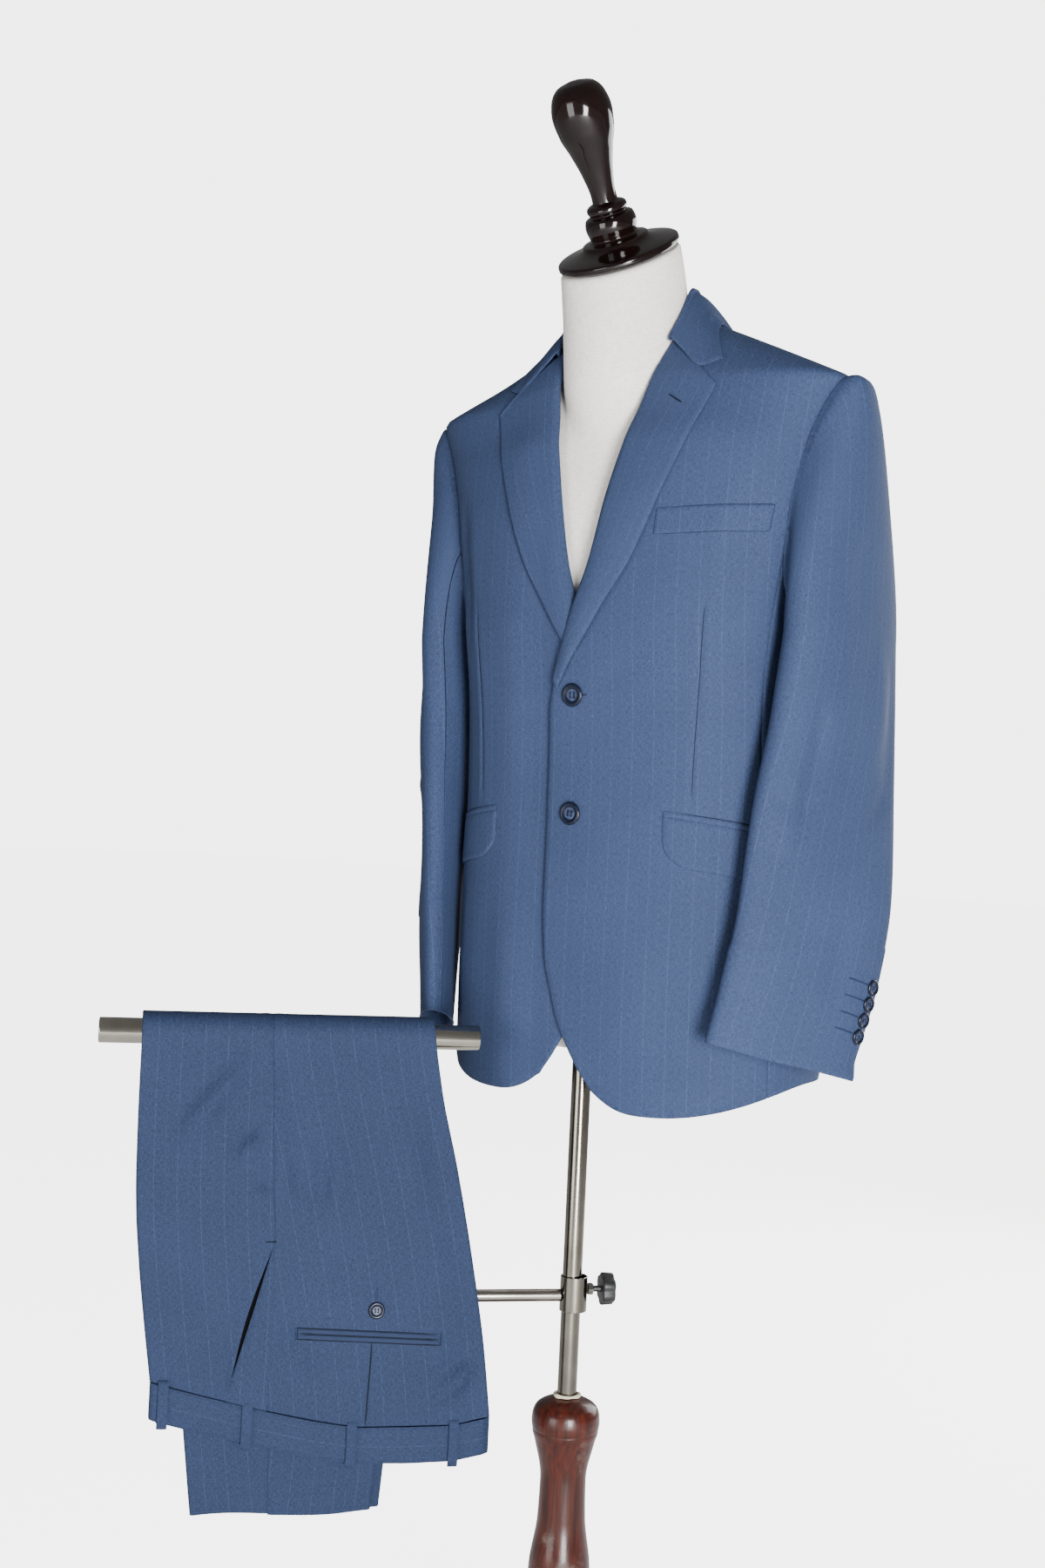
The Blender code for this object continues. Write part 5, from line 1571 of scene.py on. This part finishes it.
def onRightSleeve(turn, height):
    spot, out = onSleeve(turn, height)
    return toRight(spot), out * flip


def makeButtons():
    for index, z in enumerate((1.066, 0.951)):
        point, normal = chestPoint(0.0, z, jacket["thickness"] + 0.0006)
        makeButton(f"front_button_{index + 1}_resin", "front", point, normal, (0.12, 0, 1), "stand",
                   f"front_button_{index + 1}")
    for index in range(1, 5):
        z = sleeveForm[-1][0] + 0.0101 + 0.0154 * index
        point, normal = sleeveSpot(58.0, z)
        point = point + normal * (jacket["thickness"] + 0.0014)
        makeButton(f"cuff_button_{index}_left", "cuff", point, normal, (-0.3, 0, 1), "stand",
                   f"cuff_button_left_{index}")
        makeButton(f"cuff_button_{index}_right", "cuff", toRight(point), normal * flip, (0.3, 0, 1),
                   "stand", f"cuff_button_right_{index}")
        ends = ((55.0, z + 0.0015), (25.0, z + 0.0100))
        worked(f"cuff_buttonhole_{index}_left", ends, onSleeve, thread, "stand", 0.0016, 0.0005)
        worked(f"cuff_buttonhole_{index}_right", ends, onRightSleeve, thread, "stand", 0.0016, 0.0005)
    for leg in legs:
        point, normal = legSpot(leg, trousers["thickness"] / 2 + 0.0006)(0.1970, -0.2800)
        makeButton(f"back_button_{leg}_resin", "back", point, normal, (0, 0, 1), "rail",
                   f"back_button_{leg}")


makeButtons()
print("pockets and buttons made")


# ---- trouser pockets, loops and topstitching ----

def facingPlace(leg, isLining):
    # the facing lies level with the back panel and sags a little at the slit; the lining lies flat behind,
    # black as painted shade in the opening
    depth = trousers["thickness"] + 0.0007 if isLining else 0.00006

    def place(u, v):
        along = mix(trousers["waist"], trousers["slantTop"][0] + (0.006 if isLining else -0.001), v)
        share = np.maximum(0, slantShare(along))
        line = mix(trousers["slantTop"][1], trousers["slantWaist"][1], share)
        seam = curveThrough(legForm, along, 3)
        low = line - 0.004 if isLining else seam - 0.0001
        high = line + 0.014 if isLining else line + 0.0004
        where = mix(low, high, u)
        along = bentAlong(where, along)
        height = -depth
        if not isLining:
            height = height + outerHeight(leg, where, along, curveThrough(legForm, along, 2), "back")
            height -= 0.0010 * np.clip(1 - (high - where) / 0.008, 0, 1) ** 2
        radius = layerRadius(outerLayer(leg), along) + legSide(leg) * height
        return overRail(where, along, radius), where - seam - 0.004, along
    return place


loopPiece = {
    "size": (10, 34),
    "width": 0.0095,
    "length": 0.044,
    "stand": 0.0022,
    "places": (0.392, 0.3140, 0.2150, 0.1170),
}


def loopPlace(leg, middle):
    def place(u, v):
        foot = waistAlong(np.array(middle))
        along = foot + 0.004 - loopPiece["length"] * (1 - v)
        where = middle + (u - 0.5) * loopPiece["width"]
        share = (foot - waistband["seam"] - along) / trousers["bandHeight"]
        arch = loopPiece["stand"] * np.clip(np.minimum(v, 1 - v) / 0.10, 0, 1) ** 0.5
        height = waistband["thickness"] + bandSwell(where, share) + arch - 0.0007 * (2 * u - 1) ** 4
        radius = layerRadius(outerLayer(leg), along) + legSide(leg) * height
        return overRail(where, along, radius), where - middle + 0.0045, along
    return place


def bandStitchPath(leg, share):
    where = np.linspace(0.090, 0.398, 110)
    points = bandPoint(where, np.full_like(where, outerLayer(leg)), np.full_like(where, share), 1.0)
    normal = railPoint(0, 1.0, 0) * legSide(leg)
    return points + normal * waistband["thickness"] / 2, np.tile(normal, (len(where), 1))


backPocket = {
    "low": 0.1345, "high": 0.2705, "along": -0.2985, "tilt": 0.0075, "jet": 0.0042, "slit": 0.0012,
}


def pocketAlong(where):
    share = (where - backPocket["high"]) / (backPocket["high"] - backPocket["low"])
    return backPocket["along"] + backPocket["tilt"] * share


def spotsAlong(leg, lift, where, along):
    # points and normals of a line on the leg's outer face
    at = legSpot(leg, lift)
    return zip(*(at(w, a) for w, a in zip(where, along)))


def pocketStrip(name, leg, offset, width, height):
    where = np.linspace(backPocket["low"], backPocket["high"], 40)
    spots = spotsAlong(leg, trousers["thickness"] / 2 + 0.0001, where, pocketAlong(where) + offset)
    return ribbonMesh(name, *spots, width, height)


def pocketShadowFrame(leg):
    # painted shadow: dark cords along the seam round the jets, and along the dart's seam from there to the
    # waistband, where they lie in shade
    low, high = backPocket["low"] - 0.0004, backPocket["high"] + 0.0004
    top = backPocket["jet"] / 2 + 0.0004
    foot = -backPocket["jet"] * 1.5 - backPocket["slit"] - 0.0004
    across, upright = np.linspace(low, high, 40), np.linspace(top, foot, 6)
    where = np.concatenate((across, np.full(6, high), across[::-1], np.full(6, low)))
    offset = np.concatenate((np.full(40, top), upright, np.full(40, foot), upright[::-1]))
    down = np.linspace(-0.3085, -0.3895, 40)
    meshes = []
    for line in ((where, pocketAlong(where) + offset), (curveThrough(dartRows, down, 1), down)):
        spots = spotsAlong(leg, trousers["thickness"] / 2 + 0.0001, *line)
        meshes.append(ribbonMesh("seam", *spots, 0.0014, 0.0004))
    return mergedMesh(f"pocket_shadow_frame_{leg}", meshes)


def makeFrontPocket(leg):
    addCloth(f"facing_{leg}", (16, 60), facingPlace(leg, False), worstedTrousersShaded, "rail",
             f"pocket_facing_{leg}", 0.0010, 0.0)
    # the lining sheet is black, painted shade seen through the slant pocket's opening
    mesh = gridMesh(f"pocket_lining_{leg}", 8, 40, facingPlace(leg, True))
    addWall(addPiece(f"pocket_lining_{leg}", mesh, pocketShade, "rail"), 0.0006, 0.0, False)


def makeLoops(leg):
    for index, where in enumerate(loopPiece["places"]):
        addCloth(f"loop_{leg}_{index + 1}", loopPiece["size"], loopPlace(leg, where), worstedTrousersShaded,
                 "rail", f"belt_loop_{leg}_{index + 1}", trousers["thickness"], 0.0)


def makeBackPocket(leg, at):
    # two narrow jets with a dark strip of painted shade in the slit between them, framed by bar tacks
    apart = backPocket["jet"] + backPocket["slit"]
    jets = [pocketStrip("jet", leg, offset, backPocket["jet"], 0.0012) for offset in (0.0, -apart)]
    addPiece(f"back_jets_{leg}", mergedMesh(f"back_jets_{leg}", jets), worstedTrousersShaded, "rail",
             (f"back_pocket_{leg}",))
    # the slit's shade is painted, as a dark strip
    slit = pocketStrip(f"back_slit_{leg}", leg, -apart / 2, 0.0022, 0.0006)
    addPiece(f"back_slit_{leg}", slit, darkThreadAndShade, "rail")
    addPiece(f"pocket_shadow_frame_{leg}", pocketShadowFrame(leg), darkThreadAndShade, "rail")
    for index, where in enumerate((backPocket["low"] - 0.0012, backPocket["high"] + 0.0012)):
        lean = pocketAlong(where)
        worked(f"pocket_tack_{leg}_{index + 1}", ((where, lean + 0.0036), (where, lean - 0.0092)), at,
               thread, "rail", 0.0014, 0.0006)
    worked(f"back_buttonhole_{leg}", ((0.1975, -0.2705), (0.1975, -0.2590)), at, thread, "rail", 0.0019)


def makeTopstitching(leg, at):
    # a tack at the slant pocket's foot, a row beside its edge, and one along each edge of the waistband
    start = trousers["slantTop"][0]
    edge = float(slantEdge(start))
    worked(f"slant_tack_{leg}", ((edge - 0.0012, start + 0.0006), (edge + 0.0100, start + 0.0006)), at,
           darkThreadAndShade, "rail", 0.0015, 0.0006)
    along = np.linspace(start - 0.002, -0.352, 50)
    spots = spotsAlong(leg, trousers["thickness"] / 2 + 0.0002, slantEdge(along) + 0.0068, along)
    rows = [stitchMesh("row", *spots)]
    for share in (0.06, 0.94):
        rows.append(stitchMesh("row", *bandStitchPath(leg, share)))
    addPiece(f"topstitch_{leg}", mergedMesh(f"topstitch_{leg}", rows), thread, "rail")


def makeTrouserDetails():
    for leg in legs:
        at = legSpot(leg, trousers["thickness"] / 2 + 0.0002)
        makeFrontPocket(leg)
        makeLoops(leg)
        makeBackPocket(leg, at)
        makeTopstitching(leg, at)


makeTrouserDetails()
print("trouser details made")


# ---- dress form ----

# height, half width, depth before and behind, and the y between them
formBody = (
    (0.720, 0.140, 0.080, 0.092, 0.070), (0.745, 0.160, 0.092, 0.106, 0.072),
    (0.850, 0.172, 0.098, 0.108, 0.070), (0.950, 0.167, 0.090, 0.102, 0.062),
    (1.060, 0.160, 0.082, 0.094, 0.051), (1.150, 0.166, 0.084, 0.098, 0.046),
    (1.240, 0.180, 0.080, 0.108, 0.046), (1.310, 0.190, 0.070, 0.108, 0.047),
    (1.350, 0.198, 0.056, 0.098, 0.048), (1.375, 0.188, 0.048, 0.088, 0.050),
    (1.400, 0.146, 0.040, 0.070, 0.054), (1.418, 0.100, 0.034, 0.056, 0.056),
    (1.436, 0.050, 0.030, 0.040, 0.050), (1.500, 0.040, 0.030, 0.030, 0.020),
)
# height, radius, middle, lean
formNeck = (
    (1.290, 0.0380, 0.030, 0.0), (1.340, 0.0540, 0.027, 0.0), (1.380, 0.0610, 0.022, 0.0),
    (1.410, 0.0625, 0.021, 2.0), (1.440, 0.0632, 0.019, 10.0), (1.470, 0.0630, 0.013, 23.0),
    (1.506, 0.0615, 0.002, 33.5),
)
form = {"size": (150, 190), "bottom": 0.720, "top": 1.506, "blend": 14.0, "lean": 34.5, "cap": 0.06}


def formPoint(degrees, z):
    half, front, back, mid = (curveThrough(formBody, z, column) for column in range(1, 5))
    radius, neckMid, lean = (curveThrough(formNeck, z, column) for column in range(1, 4))
    across, ahead = np.sin(np.radians(degrees)), np.cos(np.radians(degrees))
    depth = np.where(ahead > 0, front, back)
    body = (np.abs(across / half) ** squareness + np.abs(ahead / depth) ** squareness) ** (-1 / squareness)
    offset = (mid - neckMid) * ahead
    inside = radius ** 2 - (mid - neckMid) ** 2 + offset ** 2
    neck = np.where(inside > 0, offset + np.sqrt(np.maximum(0, inside)), 0.0)
    reach = (body ** form["blend"] + np.maximum(neck, 0) ** form["blend"]) ** (1 / form["blend"])
    y = mid - reach * ahead - neckMid
    tilt = np.radians(lean)
    return stack(reach * across, neckMid + y * np.cos(tilt), z + y * np.sin(tilt))


def formPlace(u, v):
    degrees = 360 * u
    cap = form["cap"]
    z = mix(form["bottom"], form["top"], np.clip((v - cap) / (1 - 2 * cap), 0, 1))
    points = formPoint(degrees, z)
    # the first and the last rows close the form
    middle = points[:, :-1].mean(axis=1, keepdims=True)
    closing = np.clip(1 - np.minimum(v, 1 - v) / cap, 0, 1)[..., None]
    return mix(points, middle, closing), degrees / 360 * 0.4, z


def makeForm():
    mesh = closedMesh(gridMesh("calico_form", *form["size"], formPlace), 50)
    addPiece("calico_form", mesh, calico, "stand", ("form_torso",))


makeForm()


# ---- finial, post, foot and pole ----

# radius and distance from the neck's top
finialRows = (
    (0.0060, 0.1735), (0.0175, 0.1702), (0.0262, 0.1598), (0.0296, 0.1437), (0.0276, 0.1267),
    (0.0213, 0.1068), (0.0155, 0.0850), (0.0125, 0.0643), (0.0128, 0.0580), (0.0180, 0.0552),
    (0.0200, 0.0530), (0.0203, 0.0505), (0.0188, 0.0472), (0.0186, 0.0462), (0.0240, 0.0430),
    (0.0258, 0.0352), (0.0242, 0.0262), (0.0236, 0.0240), (0.0250, 0.0222), (0.0330, 0.0198),
    (0.0345, 0.0168), (0.0560, 0.0108), (0.0600, 0.0098), (0.0618, 0.0080), (0.0620, 0.0050),
    (0.0600, 0.0022), (0.0500, 0.0004),
)
# radius and height
postRows = (
    (0.0120, 0.3790), (0.0230, 0.3750), (0.0300, 0.3700), (0.0330, 0.3625), (0.0335, 0.3560),
    (0.0327, 0.3490), (0.0322, 0.3478), (0.0324, 0.3466), (0.0300, 0.3380), (0.0225, 0.3000),
    (0.0236, 0.2620), (0.0298, 0.2180), (0.0335, 0.1500), (0.0360, 0.0900), (0.0360, 0.0423),
)
footRows = (
    (0.0560, 0.0420), (0.0620, 0.0380), (0.1200, 0.0300), (0.1850, 0.0240), (0.1980, 0.0180),
    (0.2000, 0.0080), (0.1970, 0.0000),
)
stand = {"poleRadius": 0.0095, "postTop": 0.3793, "ringRadius": 0.0138}


def makeStand():
    lean = math.radians(form["lean"])
    direction = Vector((0, -math.sin(lean), math.cos(lean)))
    top = Vector((0, 0.002, form["top"])) + direction * 0.0012
    place = Matrix.Translation(top) @ Matrix.Rotation(lean, 4, "X")
    mesh = turnedMesh("finial_turned", fineProfile(finialRows, 0.0016), 96, place)
    addPiece("finial_turned", mesh, lacquer, "stand", ("finial",))
    mesh = turnedMesh("post_turned", fineProfile(postRows, 0.0025), 96)
    addPiece("post_turned", mesh, beech, "stand", ("stand_post",))
    mesh = turnedMesh("foot_turned", fineProfile(footRows, 0.003), 128)
    addPiece("foot_turned", mesh, beech, "stand", ("stand_foot",))
    radius, low, high = stand["poleRadius"], stand["postTop"], form["bottom"] - 0.0003
    profile = [(0, low), (radius, low), (radius, high), (0, high)]
    mesh = turnedMesh("pole_tube", profile, 64)
    # the pole's darker nickel is painted shade
    addPiece("pole_tube", mesh, nickelPaintedShade, "stand", ("pole",))


def makeRing():
    # putty pressed round the pole: a low uneven bead
    outer, inner = stand["ringRadius"], stand["poleRadius"] + 0.0004

    def place(u, v):
        around = math.tau * u
        lumps = 0.0005 * np.sin(around * 3 + 0.6) + 0.0003 * np.sin(around * 7 + 2.0)
        turn = math.tau * v
        radius = (outer + inner) / 2 + (outer - inner) / 2 * np.cos(turn) + lumps * (np.cos(turn) > 0)
        z = stand["postTop"] + 0.0017 + (0.0016 + lumps * 0.5) * np.sin(turn)
        return stack(radius * np.cos(around), radius * np.sin(around), z), u, v
    mesh = closedMesh(gridMesh("putty_ring", 64, 16, place), 180)
    addPiece("putty_ring", mesh, putty, "stand", ("post_ring",))


makeStand()
makeRing()


# ---- rail, its arm and the clamp ----

clamp = {
    "outer": 0.0134,
    "inner": 0.0118,
    "half": 0.017,
    "soft": 0.0004,
    "lift": 0.002,
    "clear": 0.0003,
    "knobLift": 0.006,
    "knobReach": 0.0285,
    "knobRadius": 0.0160,
    "flutes": 6,
    "fluteDepth": 0.13,
}
# the ring hangs on the pole by its far side, so that its middle is off the axis
clampShift = clamp["inner"] - stand["poleRadius"] - clamp["clear"]


def railMatrix(along, out, z):
    turn = Matrix.Rotation(rail["heading"], 4, "Z") @ Matrix.Rotation(math.pi / 2, 4, "Y")
    return Matrix.Translation(Vector(railPoint(along, out, z))) @ turn


def armPath():
    start = clamp["outer"] - clampShift + 0.0005
    bend, upright, z = rail["armBend"], rail["armUpright"], rail["armZ"]
    path = [(start, z), (start + 0.004, z), (upright - bend, z)]
    for step in range(1, 15):
        angle = math.pi / 2 * step / 15
        path.append((upright - bend + bend * math.sin(angle), z + bend * (1 - math.cos(angle))))
    path += [(upright, z + bend), (upright, rail["z"] - rail["radius"] - 0.0003)]
    return np.array(path)


def makeArm():
    path = armPath()
    run = runAlong(path)
    cap = 0.04

    def onPath(at):
        return np.interp(at, run, path[:, 0]), np.interp(at, run, path[:, 1])

    def place(u, v):
        # rows: a closed cap, the tube, a closed cap
        at = np.clip((v - cap) / (1 - 2 * cap), 0, 1) * run[-1]
        before, here, after = (onPath(np.clip(at + step, 0, run[-1])) for step in (-0.0015, 0, 0.0015))
        dx, dz = after[0] - before[0], after[1] - before[1]
        length = np.hypot(dx, dz)
        radius = rail["armRadius"] * np.clip(np.minimum(v, 1 - v) / cap, 0, 1)
        out = radius * np.cos(math.tau * u) / length
        return railPoint(here[0] - dz * out, radius * np.sin(math.tau * u), here[1] + dx * out), u, v
    mesh = closedMesh(gridMesh("rail_arm_tube", 40, 100, place), 40)
    addPiece("rail_arm_tube", mesh, nickel, "rail", ("rail_arm",))


def makeRailTube():
    length = rail["span"][1] - rail["span"][0]
    r, e = rail["radius"], rail["edge"]
    end = [(0, 0), (r - 0.0042, 0), (r - 0.0036, -0.0003), (r - e, 0), (r - e * 0.3, e * 0.3), (r, e)]
    profile = end + [(radius, length - z) for radius, z in end[::-1]]
    mesh = turnedMesh("rail_tube", profile, 72, railMatrix(rail["span"][0], 0, rail["z"]))
    addPiece("rail_tube", mesh, nickel, "rail", ("trouser_rail",))


def makeClamp():
    outer, inner, half, soft = clamp["outer"], clamp["inner"], clamp["half"], clamp["soft"]
    upper = [(inner, half - soft), (inner + soft, half), (outer - soft, half), (outer, half - soft)]
    profile = upper + [(radius, -z) for radius, z in upper[::-1]] + upper[:1]
    place = Matrix.Translation(Vector(railPoint(-clampShift, 0, rail["armZ"] + clamp["lift"])))
    mesh = turnedMesh("clamp_ring", profile, 96, place)
    # the clamp's darker nickel is painted shade
    addPiece("clamp_ring", mesh, nickelPaintedShade, "rail", ("rail_clamp",))


def addDisc(bm, sides, radius1, radius2, depth, z):
    bmesh.ops.create_cone(bm, cap_ends=True, segments=sides, radius1=radius1, radius2=radius2, depth=depth,
                          matrix=Matrix.Translation((0, 0, z)))


def makeKnob():
    # a nut against the clamp, and a fluted head on a short screw
    face = clamp["outer"] + clampShift + clamp["clear"]
    turned = railMatrix(0, 0, rail["armZ"] + clamp["knobLift"]) @ Matrix.Rotation(math.pi, 4, "Y")
    nut = bmesh.new()
    addDisc(nut, 6, 0.0060, 0.0060, 0.0054, face + 0.0028)
    bmesh.ops.transform(nut, matrix=turned, verts=nut.verts)
    bmesh.ops.bevel(nut, geom=list(nut.edges), offset=0.0004, offset_type="OFFSET", affect="EDGES",
                    segments=2, profile=0.5, material=-1)
    made = meshFrom("clamp_hex_nut", nut)
    made.shade_flat()
    addPiece("clamp_hex_nut", made, nickel, "rail", ("clamp_nut",))
    reach, radius = clamp["knobReach"], clamp["knobRadius"]
    knob = bmesh.new()
    addDisc(knob, 60, radius, radius * 0.95, 0.0125, reach + 0.0070)
    for vert in knob.verts:
        around = math.atan2(vert.co.y, vert.co.x) * clamp["flutes"]
        flute = 1 - clamp["fluteDepth"] * (0.5 - 0.5 * math.cos(around)) ** 2
        vert.co.x *= flute
        vert.co.y *= flute
    rims = [edge for edge in knob.edges if len(edge.link_faces) == 2 and edge.calc_face_angle(0) > 1.0]
    bmesh.ops.bevel(knob, geom=rims, offset=0.0014, offset_type="OFFSET", affect="EDGES",
                    segments=3, profile=0.5, material=-1)
    addDisc(knob, 32, 0.0030, 0.0030, reach - face - 0.0052, (reach + face + 0.0064) / 2)
    addDisc(knob, 40, 0.0062, 0.0056, 0.0012, reach + 0.0137)
    bmesh.ops.transform(knob, matrix=turned, verts=knob.verts)
    made = meshFrom("hand_knob", knob)
    made.set_sharp_from_angle(angle=math.radians(35))
    addPiece("hand_knob", made, nylon, "knob", ("clamp_knob",))


makeArm()
makeRailTube()
makeClamp()
makeKnob()
print("stand made")


# ---- floor, light and camera ----

studio = {
    "floorSize": 60.0,
    "cameraPlace": (0.9766, -1.5629, 0.935),
    "heading": 34.23,
    "pitch": 1.34,
    "roll": 2.7,
    "lens": 42.7,
    "sensor": 36.0,
    "roomLight": (0.24, 4.6),
    "floorLight": (0.22, 4.2),
}
# place, target, width and height in metres, watts
lamps = {
    "window_left": ((-0.5, -2.9, 0.5), (0, 0, 0.95), (1.3, 1.6), 52),
    "window_right": ((2.3, -2.1, 0.65), (0, 0, 0.9), (0.8, 1.4), 238),
    "behind": ((0.6, 2.6, 1.6), (0, 0, 0.9), (2.0, 2.0), 80),
}


def addCameraLight(tree, levels):
    # one brightness for the room and a higher one for the camera
    seen = addNode(tree, "ShaderNodeLightPath", {}, "Is Camera Ray")
    return addRange(tree, seen, 0.0, 1.0, *levels)


def makeFloor():
    bm = bmesh.new()
    bmesh.ops.create_grid(bm, x_segments=1, y_segments=1, size=studio["floorSize"] / 2)
    bmesh.ops.translate(bm, vec=(0, 0, -0.0005), verts=bm.verts)
    mesh = meshFrom("floor", bm)
    floor = bpy.data.objects.new("floor", mesh)
    bpy.context.scene.collection.objects.link(floor)
    finish, tree, shader = newFinish("pale_floor")
    # lit from below, so that it looks as bright as the backdrop and lights the cloth only a little
    fillInputs(tree, shader, {
        "Base Color": toLinear("#f4f4f3"),
        "Roughness": 0.9,
        "Emission Color": (1, 1, 1, 1),
        "Emission Strength": addCameraLight(tree, studio["floorLight"]),
    })
    mesh.materials.append(finish)


def addLamp(name, place, target, size, watts):
    data = bpy.data.lights.new(name, "AREA")
    data.shape = "RECTANGLE"
    data.size, data.size_y = size
    data.energy = watts
    lamp = bpy.data.objects.new(name, data)
    bpy.context.scene.collection.objects.link(lamp)
    lamp.location = place
    lamp.rotation_mode = "QUATERNION"
    lamp.rotation_quaternion = (Vector(target) - Vector(place)).to_track_quat("-Z", "Y")


def makeStudio():
    world = bpy.data.worlds.new("white_studio")
    world.use_nodes = True
    tree = world.node_tree
    strength = addCameraLight(tree, studio["roomLight"])
    fillInputs(tree, tree.nodes["Background"], {"Color": (1, 1, 1, 1), "Strength": strength})
    bpy.context.scene.world = world
    for name, settings in lamps.items():
        addLamp(name, *settings)


def makeCamera():
    data = bpy.data.cameras.new("camera")
    data.lens = studio["lens"]
    data.sensor_fit = "VERTICAL"
    data.sensor_height = studio["sensor"]
    data.clip_start = 0.05
    data.clip_end = 50
    camera = bpy.data.objects.new("camera", data)
    bpy.context.scene.collection.objects.link(camera)
    heading, pitch, roll = (math.radians(studio[key]) for key in ("heading", "pitch", "roll"))
    level = math.cos(pitch)
    ahead = Vector((-math.sin(heading) * level, math.cos(heading) * level, math.sin(pitch)))
    camera.location = studio["cameraPlace"]
    camera.rotation_mode = "QUATERNION"
    turned = ahead.to_track_quat("-Z", "Y") @ Matrix.Rotation(roll, 3, "Z").to_quaternion()
    camera.rotation_quaternion = turned
    bpy.context.scene.camera = camera


makeFloor()
makeStudio()
makeCamera()
print("studio made")
